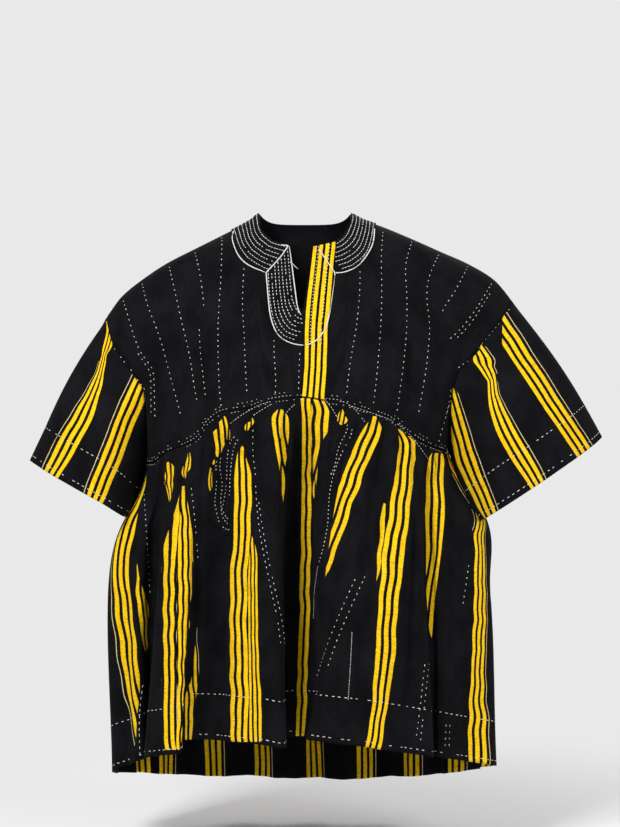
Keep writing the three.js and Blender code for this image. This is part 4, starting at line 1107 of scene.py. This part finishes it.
# ---- what is sewn on the yoke ---------------------------------------------------------------------------------------
FACING_FRONT = table("inX inZ outX outZ", [
    (-73, -1, -117, -27), (-73, -2.5, -116.5, -28.5), (-73, -7, -115, -33), (-72, -14, -112, -42),
    (-71.5, -20, -109, -52), (-70, -27, -105, -62), (-67.5, -33, -99, -70.5), (-64, -38, -93, -78),
    (-51, -48.5, -79, -88), (-39, -52, -69, -94), (-26, -55, -61, -98), (-24, -66, -61, -108),
    (-22.5, -85, -60, -125), (-20.5, -110, -58, -150), (-17.5, -139, -53, -175), (-12, -153, -45, -193),
    (-7.5, -160.5, -34, -204), (-4.4, -163, -18, -210), (-1.5, -161, 3, -214), (0, -153, 17, -206),
    (1.2, -143, 28, -195), (3.4, -130, 35, -181), (5.6, -113, 39, -160), (8, -95, 42, -136), (11, -76, 45, -115),
    (13.4, -59, 47, -101), (25, -55.5, 61, -97), (37, -53, 78, -91), (49, -50, 91, -80), (55.5, -45.5, 96.5, -74.5),
    (61, -40, 101, -68), (66, -33, 104.5, -59), (69, -25, 107, -50), (71, -19, 109, -41), (72.4, -14, 110, -33),
    (73, -7, 112, -23.5), (73, -2.5, 112.5, -18.5), (73, -1, 112.5, -17),
])
FACING_BACK = table("inX inZ outX outZ", [
    (73, -2.5, 112.5, -18.5), (73, -7, 112, -23.5), (72.5, -12.5, 110, -32), (69.5, -13.5, 105, -39.5),
    (66, -14, 98, -46), (60, -14, 86, -54), (52, -14, 72, -60), (41, -14, 56, -62.5), (30, -14, 40, -64),
    (15, -14, 20, -65.5), (0, -14, 0, -66), (-15, -14, -20, -65.5), (-30, -14, -40, -64), (-41, -14, -57, -62.5),
    (-52, -14, -74, -60), (-60, -14, -89, -56), (-66, -14, -102, -50), (-70, -13.5, -108, -45),
    (-72.5, -12.5, -113, -40), (-73, -7, -115, -33), (-73, -2.5, -116.5, -28.5),
])
LEFT_MITRE, RIGHT_BAND = 10, 26  # rows of the front table
FACING_ROWS = 7  # rows of running stitch,
ROWS_FROM, ROWS_TO = 0.07, 0.9  # and the shares of its width between which they lie
FACING_LIFT = 1.9  # its outside above the yoke's
QUILTED = 0.28  # how far it is drawn in along the rows, and stands out between them
FACING_FINE = 6 // COARSE  # grid columns to a row of the tables
FACING_ACROSS = 32 // COARSE
HALVINGS = 34


def on_yoke(face, x, z):
    """The yoke's outside at x and z, by halving the threads between which the place lies."""
    low, high = np.full(x.shape, TOP_LEFT), np.full(x.shape, TOP_RIGHT)
    for _ in range(HALVINGS):
        top = (low + high) / 2
        start = yoke_top(face, top)
        share = np.clip((z - start) / (FACES[face]["seam_z"](thread_seam(top)) - start), 0, 1)
        short = yoke(face, top, share)[..., 0] < x
        low, high = np.where(short, top, low), np.where(short, high, top)
    return yoke(face, (low + high) / 2, share)


def facing_grid(face, rows):
    number = np.arange(0, len(rows) - 1 + 1e-6, 1 / FACING_FINE)
    across = np.linspace(0, 1, FACING_ACROSS + 1)
    values = {name: np.interp(number, np.arange(len(rows)), column(rows, name))[:, None] for name in rows[0]}
    x, z = (mix(values["in" + axis], values["out" + axis], across) for axis in "XZ")
    return on_yoke(face, x, z)


facing = np.concatenate([facing_grid("front", FACING_FRONT), facing_grid("back", FACING_BACK)])
facing_up = normals_of(facing, closed=True)
across = np.linspace(0, 1, facing.shape[1])[None, :, None]
row_number = (across - ROWS_FROM) / (ROWS_TO - ROWS_FROM) * (FACING_ROWS - 1)
facing = facing + facing_up * (FACING_LIFT - QUILTED * np.cos(2 * np.pi * row_number))
place = cloth_uv(np.concatenate([facing, facing[:1]]))
o = cloth_object(
    "neck_facing_cloth", facing, place, np.broadcast_to(np.array(PLAIN), place.shape), black_cloth,
    thickness=TRIM, closed=True,
)
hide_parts("neck_facing")

STRIP_ROWS = table("z left right", [
    (-58, 13, 48), (-80, 10.5, 45.5), (-100, 8, 43.5), (-130, 4.5, 41), (-158, 1.5, 38.7), (-178, 0, 36.5),
    (-196, -0.3, 35), (-220, -0.4, 34.6), (-246, -0.6, 34), (-271, -2.4, 32.2), (-294.5, -4.5, 30.3),
])
STRIP_TOP, STRIP_LOW = -58, -294.5
STRIP_LIFT = 1.3  # its outside above the yoke's; over the facing it is STRIP_OVER higher, down to STRIP_DOWN
STRIP_OVER, STRIP_DOWN, STRIP_SETTLES = 1.9, -219, 12
STRIP_SLANT = 0.22  # of its upper end
STRIP_SHORT = 1.0  # how far above the gather seam it ends
STRIP_WIDE = 39.4  # four stripes and the thin gaps between them, in the stripes map
STRIP_PITCH, STRIP_ACROSS = 2.0, 48 // COARSE
RIB, RIB_FLAT = 0.5, 0.7  # height of its four ribs, and how flat their backs are
IN_SIGHT = 20.0  # far enough inside a group's visible edges


def strip_grid():
    level = spaced(STRIP_TOP, STRIP_LOW, STRIP_PITCH)
    across = np.linspace(0, 1, STRIP_ACROSS + 1)
    by_fall = STRIP_ROWS[::-1]
    left, right = (np.interp(level, column(by_fall, "z"), column(by_fall, name)) for name in ("left", "right"))
    x = mix(left[None, :], right[None, :], across[:, None])
    z = np.broadcast_to(level, x.shape).copy()
    z[:, 0] += STRIP_SLANT * (x[:, 0] - left[0])
    z[:, -1] = FACES["front"]["seam_z"](x[:, -1]) + STRIP_SHORT
    points = on_yoke("front", x, z)
    normals = normals_of(points)
    over = 1 - ease((STRIP_DOWN - z) / STRIP_SETTLES)
    g = (across - 0.5) * STRIP_WIDE
    ribs = RIB * np.abs(np.cos(np.pi * g / STRIPE_PITCH - np.pi / 2)) ** RIB_FLAT
    points = points + normals * (STRIP_LIFT + STRIP_OVER * over + ribs[:, None])[..., None]
    inside = np.full(points.shape[:2], IN_SIGHT)
    return points, np.stack([np.broadcast_to(g[:, None], inside.shape), inside], axis=-1)


strip, stripes = strip_grid()
o = cloth_object(
    "placket_strip_cloth", strip, cloth_uv(strip), stripes, strip_cloth, thickness=TRIM
)
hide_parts("placket_strip")

# ---- pocket facings -------------------------------------------------------------------------------------------------
# Between two fold rows and two shares of the way down. A fold hides a share of each one's width at its left edge, at
# the top, and that comes clear between two shares of its length.
POCKETS = table("name low high top bottom drift hidden from_t to_t", [
    ("left", 9.55, 10.75, 0.03, 0.36, 0.05, 0.93, 0.1, 0.38), ("right", 16.6, 18.2, 0.06, 0.36, 0, 0.35, 0, 0.3),
])
POCKET_LIFT, POCKET_QUILTED = 1.4, 0.2
POCKET_COLUMNS, POCKET_ROWS = 24 // COARSE, 0.012
POCKET_END, POCKET_ROUND = 0.2, 0.82  # the share of its length that is rounded, and how narrow its end gets
FRONT_ROWS = np.r_[-0.01, ws]  # the share down of each of the front panel's rows


def between(points, i, j):
    """Points of a grid at fractional columns i and rows j."""
    i = np.clip(i, 0, points.shape[0] - 1.001)
    j = np.clip(j, 0, points.shape[1] - 1.001)
    a, b = np.floor(i).astype(int), np.floor(j).astype(int)
    s, t = (i - a)[..., None], (j - b)[..., None]
    return mix(mix(points[a, b], points[a + 1, b], s), mix(points[a, b + 1], points[a + 1, b + 1], s), t)


front_up = normals_of(front_panel)
pockets = {}
for row in POCKETS:
    across, t = np.linspace(-1, 1, POCKET_COLUMNS + 1)[:, None], spaced(0, 1, POCKET_ROWS)[None, :]
    middle, half = (row["low"] + row["high"]) / 2, (row["high"] - row["low"]) / 2
    narrow = 1 - POCKET_ROUND * np.clip((t - (1 - POCKET_END)) / POCKET_END, 0, 1) ** 2
    shown = 1 - row["hidden"] * (1 - ramp(t, row["from_t"], row["to_t"]))
    place = middle + row["drift"] * t + half * narrow * (1 - (1 - across) * shown)
    i = place * (len(ks) - 1) / FOLDS
    j = np.interp(mix(row["top"], row["bottom"], t), FRONT_ROWS, np.arange(len(FRONT_ROWS))) + 0 * across
    up = between(front_up, i, j)
    points = between(front_panel, i, j) + up * (POCKET_LIFT + POCKET_QUILTED * np.cos(across * 4 * np.pi)[..., None])
    pockets[row["name"]] = points
    o = cloth_object(
        f"pocket_facing_{row['name']}_cloth", points, cloth_uv(points), plain_map(points), black_cloth,
        thickness=TRIM,
    )
    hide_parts(f"pocket_facing_{row['name']}")

# ---- stitches and cords ---------------------------------------------------------------------------------------------
front_tree = surface_tree([
    (bodices["front"], False, 1), (front_panel, False, 1), (facing, True, 1), (strip, False, 1),
    (pockets["left"], False, 1), (pockets["right"], False, 1), (sleeves["left"], True, 1), (sleeves["right"], True, -1),
])
STITCH_SIDES = 5
STITCH_RINGS = np.array([(-0.5, 0.45), (-0.3, 1.0), (0.3, 1.0), (0.5, 0.45)])  # place along it, size
STITCH_HIGH, STITCH_ARCH, STITCH_SINKS = 0.36, 0.45, 1.6  # against its width: half its height, its rise, its ends' fall
ASKEW, OFF = 0.07, 0.035  # how much the stitches' directions vary, and their places, as a share of the pitch
LONG_VARIES, WIDE_VARIES = (0.7, 1.15), (0.75, 1.15)
CORD_STEP, CORD_FLAT, CORD_SINKS = 2.5, 0.8, 0.25
CORD_BEADS, CORD_BEAD_TURN = 0.08, 2.1  # its width varies a little along it
SHARP = 40  # degrees; a corner that turns less is rounded
CORNER_CUT = 0.25
STEP, FINE_STEP = 3.0, 1.5  # pixels between the places at which a line is traced


def line_at(at, length, values):
    return np.stack([np.interp(at, length, values[:, c]) for c in range(3)], axis=-1)


def along_line(points, ups, pitch):
    """Places at an even pitch along a line of points, with the way it runs there and the way out of the cloth."""
    length = arc(points, 0)
    keep = np.r_[True, np.diff(length) > 1e-6]
    points, ups, length = points[keep], ups[keep], length[keep]
    at = np.arange(pitch / 2, length[-1], pitch)
    way = line_at(at + 1, length, points) - line_at(at - 1, length, points)
    return line_at(at, length, points), unit(way), unit(line_at(at, length, ups))


def rounded(spots):
    """A line of photograph pixels with its slight corners cut off."""
    for _ in range(2):
        line = [spots[0]]
        for before, here, after in zip(spots, spots[1:], spots[2:]):
            turn = np.dot(unit(np.subtract(here, before)), unit(np.subtract(after, here)))
            if turn < math.cos(math.radians(SHARP)):
                line.append(here)
            else:
                line += [mix(np.array(here), np.array(other), CORNER_CUT) for other in (before, after)]
        spots = line + [spots[-1]]
    return np.array(spots, float)


def traced(spots, step=STEP):
    """The cloth's surface along a line of photograph pixels."""
    spots = rounded(spots)
    length = arc(spots, 0)
    at = np.arange(0, length[-1] + 1e-6, step * COARSE)
    places = [seen(front_tree, np.interp(t, length, spots[:, 0]), np.interp(t, length, spots[:, 1])) for t in at]
    places = [p for p in places if p]
    return np.array([p[0] for p in places]), np.array([p[1] for p in places])


class Sewing:
    """Collects the stitches and cords of one panel into one mesh."""

    def __init__(self, name, slot, seed):
        self.name, self.slot, self.rng = name, slot, np.random.default_rng(seed)
        self.vertices, self.faces, self.base = [], [], 0

    def dashes(self, points, ups, pitch, long, wide=1.2, gaps=0.04):
        """Running stitches along a line; the share `gaps` of them doesn't show."""
        mid, way, up = along_line(points, ups, pitch)
        kept = self.rng.random(len(mid)) >= gaps
        mid, way, up = mid[kept], way[kept], up[kept]
        count = len(mid)
        if not count:
            return
        way = unit(way + np.cross(up, way) * self.rng.normal(0, ASKEW, (count, 1)))
        mid = mid + way * self.rng.normal(0, pitch * OFF, (count, 1))
        long = long * self.rng.uniform(*LONG_VARIES, (count, 1))
        wide = wide * self.rng.uniform(*WIDE_VARIES, (count, 1))
        side = np.cross(up, way)
        for t, size in STITCH_RINGS:
            rise = (STITCH_ARCH - STITCH_SINKS * t * t) * wide * 0.5
            for turn in np.arange(STITCH_SIDES) * 2 * np.pi / STITCH_SIDES:
                ring = side * (math.cos(turn) * wide / 2 * size) + up * (math.sin(turn) * wide * STITCH_HIGH * size)
                self.vertices.append(mid + way * t * long + ring + up * rise)
        self.close(count, len(STITCH_RINGS))

    def lines(self, lines, stitch, step=STEP):
        """Rows of one kind of stitch along lines of photograph pixels."""
        for line in lines:
            self.dashes(*traced(line, step), *STITCHES[stitch])

    def edge(self, points, ups, rows):
        """Rows of stitches along a grid's lower edge, each at a distance from it."""
        for away, *stitch in rows:
            self.dashes(*edge_line(points, ups, away), *stitch)

    def column(self, points, ups, i, rows, stitch):
        """A row of stitches down a grid's column i, which may be a fraction, along some of its rows."""
        i = np.full(len(rows), i)
        self.dashes(between(points, i, rows), between(ups, i, rows), *STITCHES[stitch])

    def close(self, count, rings):
        """Faces of the last `count` bars; their vertices were given ring by ring, and side by side in each."""
        whole = np.arange(count)

        def index(ring, side):
            return self.base + (ring * STITCH_SIDES + side % STITCH_SIDES) * count + whole

        for ring in range(rings - 1):
            for side in range(STITCH_SIDES):
                corners = [index(ring, side), index(ring, side + 1), index(ring + 1, side + 1), index(ring + 1, side)]
                self.faces += np.stack(corners, axis=-1).tolist()
        self.faces += np.stack([index(0, side) for side in reversed(range(STITCH_SIDES))], axis=-1).tolist()
        self.faces += np.stack([index(rings - 1, side) for side in range(STITCH_SIDES)], axis=-1).tolist()
        self.base += rings * STITCH_SIDES * count

    def cord(self, points, ups, wide=2.0):
        mid, way, up = along_line(points, ups, CORD_STEP)
        mid = mid + up * wide * CORD_SINKS
        side = np.cross(up, way)
        for i in range(len(mid)):
            size = wide / 2 * (1 + CORD_BEADS * math.sin(i * CORD_BEAD_TURN))
            for turn in np.arange(STITCH_SIDES) * 2 * np.pi / STITCH_SIDES:
                ring = side[i] * math.cos(turn) + up[i] * math.sin(turn) * CORD_FLAT
                self.vertices.append((mid[i] + ring * size)[None])
        self.close(1, len(mid))
    def finish(self):
        mesh = bpy.data.meshes.new(self.name)
        mesh.from_pydata((np.concatenate(self.vertices) * MM).tolist(), [], self.faces)
        mesh.polygons.foreach_set("use_smooth", [True] * len(mesh.polygons))
        return new_object(self.name, mesh, white_thread)


# Running stitches: pitch and length, then width and the share that doesn't show, where they aren't the usual ones.
STITCHES = {
    "yoke seam": (9.6, 2.7, 1.2, 0), "seam": (9.6, 2.7), "armhole": (9.0, 2.6, 1.1), "ring": (4.6, 3.7, 1.1),
    "bib": (5.6, 3.6, 1.25), "placket": (5.6, 2.6, 1.3), "scallop": (5.0, 3.5, 0.8), "loose": (3.4, 2.8, 0.8),
    "pocket": (6.2, 2.5), "side": (9.5, 4.6, 1.2),
}
# The same for the rows along an edge, each after its distance from it.
GATHER_ROWS = ((3.2, 5.6, 2.0, 0.95, 0.25), (9.0, 7.4, 2.0, 0.9, 0.5))
UNDER_GATHER_ROWS = ((9.5, 5.5, 1.9, 0.9, 0.45),)
HEM_ROWS = ((8, 9.5, 4.4, 1.15, 0.3), (70, 9.5, 4.6, 1.2, 0.15))
CUFF_ROWS = ((9, 9.5, 4.6, 1.2, 0.12), (58, 9.5, 4.6, 1.2, 0.12))
# Where they run, in photograph pixels.
SLEEVE_LINES = [
    [(113, 347), (118, 353), (127, 366), (133, 372)], [(136, 378), (141, 384), (147, 393)],
    [(510, 308), (501, 321), (493, 331), (486, 339), (477.5, 349)], [(470, 360), (464, 363.5), (454, 371)],
    [(451, 388), (450.5, 395), (448.5, 406), (445, 418)],
]
YOKE_LINES = [  # the dots that show of the seams between the body's strips
    [(123, 300), (129, 319), (132, 331), (139, 350), (146, 360), (153, 369), (154, 382), (155, 419)],
    [(137, 352), (143, 361), (150, 371), (151, 384), (151, 420)],
    [(142, 283), (148, 308), (155, 324), (162, 344), (167, 364), (172, 382), (176.5, 399), (181, 416)],
    [(169, 266), (176, 296), (181, 319), (187, 343), (191, 363), (195, 393), (198, 404)],
    [(195, 252), (200, 273), (204, 304), (203.5, 310)],
    [(199, 327), (200, 350), (203, 376), (206, 401)],
    [(222, 237), (221, 280), (218, 318), (218, 353), (219, 388), (222, 412)],
    [(244, 266), (242, 304), (244, 332), (245, 360), (247, 394)],
    [(274, 338), (274, 355), (276, 378), (275, 400)],
    [(300, 351), (299, 367), (298.5, 395)],
    [(360, 269), (360, 290), (357, 324), (353, 346), (350, 363), (346, 398)],
    [(383, 231), (381, 256), (382, 290), (381, 324), (379, 352), (376.5, 379), (373, 408)],
    [(412, 241), (404.5, 265), (407, 293), (407, 327), (404, 360), (401, 383), (397, 412)],
    [(439, 254), (429, 275), (426, 296), (430, 324), (429, 343), (426, 371), (422, 394), (418, 416)],
    [(468, 266), (461, 280), (453, 295), (443, 308), (441.5, 318)],
    [(451, 398), (446, 416), (437, 447)],
    [(492, 283), (480, 303), (470.5, 317), (461, 329), (447, 341.5)],
    [(491, 292), (483.5, 303.5), (476.5, 315), (468.5, 326.5), (455.5, 339.5)],
]
SKIRT_LINES = [
    [(144, 492), (147, 540), (150, 595)],
    [(191, 486), (195, 520), (198, 560)],
    [(253, 428), (252.5, 454), (255.7, 473), (255.7, 491), (257.4, 513), (261, 541), (270, 585), (278, 621),
     (281, 648)],
    [(258.5, 500), (264.5, 541), (274, 585), (282.5, 621), (285, 648)],
    [(366, 574), (350, 609), (336, 642), (324, 678)],
    [(356, 577), (341, 610), (328, 642), (316.5, 678)],
    [(425, 662), (421, 700), (416, 740)],
    [(429, 662), (425, 700), (420.5, 740)],
    [(469, 563), (466, 585), (462, 610)],
    [(446, 723), (445, 747)],
    [(450, 723), (449, 747)],
]
POCKET_LINES = [
    [(217, 460), (215.6, 467), (217, 479), (215.6, 494), (214.5, 503), (217.2, 515), (220, 525), (227.5, 530),
     (231, 529)],
    [(221, 457), (219.4, 468), (223, 485), (220.5, 498), (221.6, 513), (224, 520), (228.6, 524.8), (232, 525)],
    [(235, 436), (229.7, 442), (227, 459), (227, 478), (225, 497), (222, 509), (226.5, 518), (230, 520)],
    [(238.4, 438.6), (233.5, 447), (231.3, 464), (229.7, 481), (230, 492), (227.5, 506)],
    [(347, 423.4), (348, 430), (338, 447), (335, 466), (331, 474.4)],
    [(352.3, 428), (351, 436.5), (341.4, 453), (333.8, 472), (329.5, 491), (328.4, 512), (328, 523),
     (325, 541), (321, 556), (318, 565)],
]
LOOSE_LINES = [[(352, 632), (350.5, 665), (348, 701)], [(318, 566), (314, 592), (313.5, 622)]]
SIDE_LINE = [(143, 683), (140, 705), (139, 730), (140, 756)]
SCALLOPS = [  # rows of short stitches that cross the gather seam
    [(229.8, 424), (236.4, 418.5), (249.7, 409.9), (263, 403.2), (272.9, 401.2)],
    [(253, 415.7), (261.3, 409.9), (272.9, 403.5)],
    [(284.8, 415.7), (288.6, 409.9), (296.1, 403.2)],
    [(324.3, 399), (331.7, 407.4), (337.5, 418)],
    [(335.9, 401.6), (345.8, 401.6), (355.8, 409.9), (365.7, 423)],
    [(347.5, 404.9), (372.4, 413), (395.6, 421.5), (412, 436.4), (428.8, 459.6)],
]
LOOSE_END = (289.6, 262)  # where the cord's loose end hangs from,
LOOSE_WAY = [(-1, 0.3, 1), (5, -1, -3), (9.5, -1.5, -8), (14.5, -1, -12)]  # its way from there in millimetres,
LOOSE_WIDE = 1.0  # and its width
CORDS = [
    [(233.7, 231), (232, 238), (233.7, 245), (238.7, 257), (248.7, 266), (266.2, 272.5)],
    [(288.7, 245), (281, 257), (266.2, 272.5), (267.8, 295), (270.3, 318), (277, 335), (288.7, 343), (303.7, 346),
     (315.3, 342.5), (325.3, 330), (327.8, 322), (331, 305), (335, 273), (317.8, 247.5)],
    [(335, 273), (345.3, 272.5), (358.7, 266), (368.7, 253), (373.7, 242), (374.5, 228)],
    [(280, 245), (288.7, 245.6), (291.2, 260), (294.5, 288), (297.2, 308), (301, 315.5)],
]


# The row of the front table at which the bib's rows of stitches end, less a step for each.
BIB_ENDS, BIB_END_STEP = 18, 0.1
# The back's strip seams: their places on the ridge. The facing covers the upper share of those near the neck.
BACK_STRIPS = (-276, -230, -182, -134, -86, -38, 10, 58, 106, 154, 202, 250, 296)
COVERED = ((90, 0.32), (117, 0.2))  # up to this far from the middle, this share
PLACKET_ROWS = (0.245, 0.735)  # shares of the strip's width
PLACKET_SEWN, PLACKET_LONG = 155, 236  # millimetres


def ring_line(first, last, share):
    """The facing's surface along the share of its width, between two rows of its front table or of the ring."""
    a, b = int(first * FACING_FINE), int(last * FACING_FINE)
    index = np.arange(a, b + 1) % facing.shape[0]
    j = share * (facing.shape[1] - 1)
    lower = int(j)
    return mix(facing[index, lower], facing[index, lower + 1], j - lower), facing_up[index, lower]


def edge_line(points, ups, away):
    """A line on a grid at a distance above its lower edge."""
    where = np.array([np.interp(line[-1] - away, line, np.arange(len(line))) for line in arc(points, 1)])
    i = np.arange(points.shape[0], dtype=float)
    return between(points, i, where), unit(between(ups, i, where))


yoke_sewing = Sewing("yoke_stitches", "black_cotton", 21)
yoke_sewing.lines(YOKE_LINES, "yoke seam")
yoke_sewing.edge(bodices["front"], normals_of(bodices["front"]), GATHER_ROWS)
back_up = normals_of(bodices["back"], outward=-1)
rows = np.arange(len(shares), dtype=float)
for at in BACK_STRIPS:
    covered = next((share for reach, share in COVERED if abs(at) <= reach), 0)
    kept = rows[rows > len(shares) * covered]
    yoke_sewing.column(bodices["back"], back_up, np.interp(at, tops, np.arange(len(tops))), kept, "seam")
yoke_sewing.edge(bodices["back"], back_up, GATHER_ROWS)

neck_sewing = Sewing("neck_stitches", "black_cotton", 22)
for row in range(FACING_ROWS):
    share = mix(ROWS_FROM, ROWS_TO, row / (FACING_ROWS - 1))
    bib_end = BIB_ENDS - (row + 1) * BIB_END_STEP
    neck_sewing.dashes(*ring_line(0, LEFT_MITRE, share), *STITCHES["ring"])
    neck_sewing.dashes(*ring_line(LEFT_MITRE, bib_end, share), *STITCHES["bib"])
    neck_sewing.dashes(*ring_line(RIGHT_BAND, facing.shape[0] / FACING_FINE - 1, share), *STITCHES["ring"])
for line in CORDS:
    neck_sewing.cord(*traced(line, FINE_STEP))
end = seen(front_tree, *LOOSE_END)[0]
neck_sewing.cord(end + np.array(LOOSE_WAY, float), np.tile([0.0, -1.0, 0.0], (len(LOOSE_WAY), 1)), LOOSE_WIDE)
strip_up = normals_of(strip)
rows = np.arange(strip.shape[1], dtype=float)
for share in PLACKET_ROWS:
    kept = rows[rows < PLACKET_SEWN / PLACKET_LONG * strip.shape[1]]
    neck_sewing.column(strip, strip_up, share * (strip.shape[0] - 1), kept, "placket")

skirt_sewing = Sewing("front_skirt_stitches", "striped_cotton", 23)
skirt_sewing.lines(SKIRT_LINES, "seam")
skirt_sewing.lines(SCALLOPS, "scallop", FINE_STEP)
skirt_sewing.lines(LOOSE_LINES, "loose")
skirt_sewing.lines(POCKET_LINES, "pocket", FINE_STEP)
skirt_sewing.edge(front_panel, front_up, HEM_ROWS)
skirt_sewing.lines([SIDE_LINE], "side")
skirt_sewing.edge(front_panel[:, ::-1], front_up[:, ::-1], UNDER_GATHER_ROWS)

back_sewing = Sewing("back_skirt_stitches", "striped_cotton", 24)
back_panel_up = normals_of(back_panel, outward=-1)
back_sewing.edge(back_panel, back_panel_up, HEM_ROWS)
back_sewing.edge(back_panel[:, ::-1], back_panel_up[:, ::-1], UNDER_GATHER_ROWS)

sleeve_sewing = Sewing("sleeve_stitches", "striped_cotton", 25)
sleeve_sewing.lines(SLEEVE_LINES, "armhole")
for side, outward in (("left", 1), ("right", -1)):
    round_up = normals_of(sleeves[side], closed=True, outward=outward)
    looped, looped_up = (np.concatenate([values, values[:1]]) for values in (sleeves[side], round_up))
    sleeve_sewing.edge(looped, looped_up, CUFF_ROWS)
for sewing in (yoke_sewing, neck_sewing, skirt_sewing, back_sewing, sleeve_sewing):
    sewing.finish()

# ---- floor, light and camera ----------------------------------------------------------------------------------------
PALE, FLOOR_PALE = (0.82, 0.815, 0.825, 1), (0.78, 0.78, 0.79, 1)
ROOM_LIGHT = 0.42  # the backdrop itself is shown at full strength
FLOOR, FLOOR_HALF = -1000 * MM, 1.6
FLOOR_FADES = (0.35, 1.2)  # metres from its middle
LIGHTS = table("name place size power", [
    ("key", (-1.5, -2.3, 1.7), 1.1, 105), ("fill", (2.3, -1.9, 0.5), 1.6, 42), ("back", (0.4, 2.2, 1.6), 1.6, 45),
])
LIT = Vector((0, 0, -0.35))  # what the lights point at


def backdrop():
    """A world that lights the scene softly and looks brighter than the light it gives."""
    world = bpy.data.worlds.new("studio")
    world.use_nodes = True
    nodes, links = world.node_tree.nodes, world.node_tree.links
    set_inputs(nodes["Background"], Color=PALE)
    strength = nodes.new("ShaderNodeMapRange")
    set_inputs(strength, To_Min=ROOM_LIGHT, To_Max=1.0)
    links.new(nodes.new("ShaderNodeLightPath").outputs["Is Camera Ray"], strength.inputs["Value"])
    links.new(strength.outputs[0], nodes["Background"].inputs["Strength"])
    return world


def pale_floor():
    n = Nodes("pale_floor")
    set_inputs(n.shader, Base_Color=FLOOR_PALE, Roughness=0.9)
    away = n.add("ShaderNodeVectorMath", operation="LENGTH")
    n.link(n.add("ShaderNodeTexCoord").outputs["Object"], away.inputs[0])
    fade = n.add("ShaderNodeMixShader")
    n.link(n.step(away.outputs["Value"], *FLOOR_FADES), fade.inputs[0])
    n.link(n.shader.outputs[0], fade.inputs[1])
    n.link(n.add("ShaderNodeBsdfTransparent").outputs[0], fade.inputs[2])
    n.link(fade.outputs[0], n.tree.nodes["Material Output"].inputs["Surface"])
    mesh = bpy.data.meshes.new("floor")
    corners = [(x * FLOOR_HALF, y * FLOOR_HALF, 0) for x, y in ((-1, -1), (1, -1), (1, 1), (-1, 1))]
    mesh.from_pydata(corners, [], [(0, 1, 2, 3)])
    mesh.materials.append(n.material)
    return mesh


def placed(name, data, location, turn=(0, 0, 0)):
    o = bpy.data.objects.new(name, data)
    o.location, o.rotation_euler = location, turn
    bpy.context.scene.collection.objects.link(o)
    return o


def studio():
    scene = bpy.context.scene
    scene.view_settings.view_transform = "Standard"
    scene.view_settings.look = "None"
    scene.world = backdrop()
    placed("floor", pale_floor(), (0, 0, FLOOR))
    for row in LIGHTS:
        light = bpy.data.lights.new(row["name"], "AREA")
        light.energy, light.size = row["power"], row["size"]
        placed(row["name"], light, row["place"], (LIT - Vector(row["place"])).to_track_quat("-Z", "Y").to_euler())
    camera = bpy.data.cameras.new("photo")
    camera.sensor_width, camera.sensor_fit = SENSOR, "AUTO"
    camera.lens = SENSOR * -CAMERA[1] / (PHOTO_HEIGHT * PIXEL)
    scene.camera = placed("photo", camera, CAMERA * MM, (math.pi / 2, 0, 0))


studio()
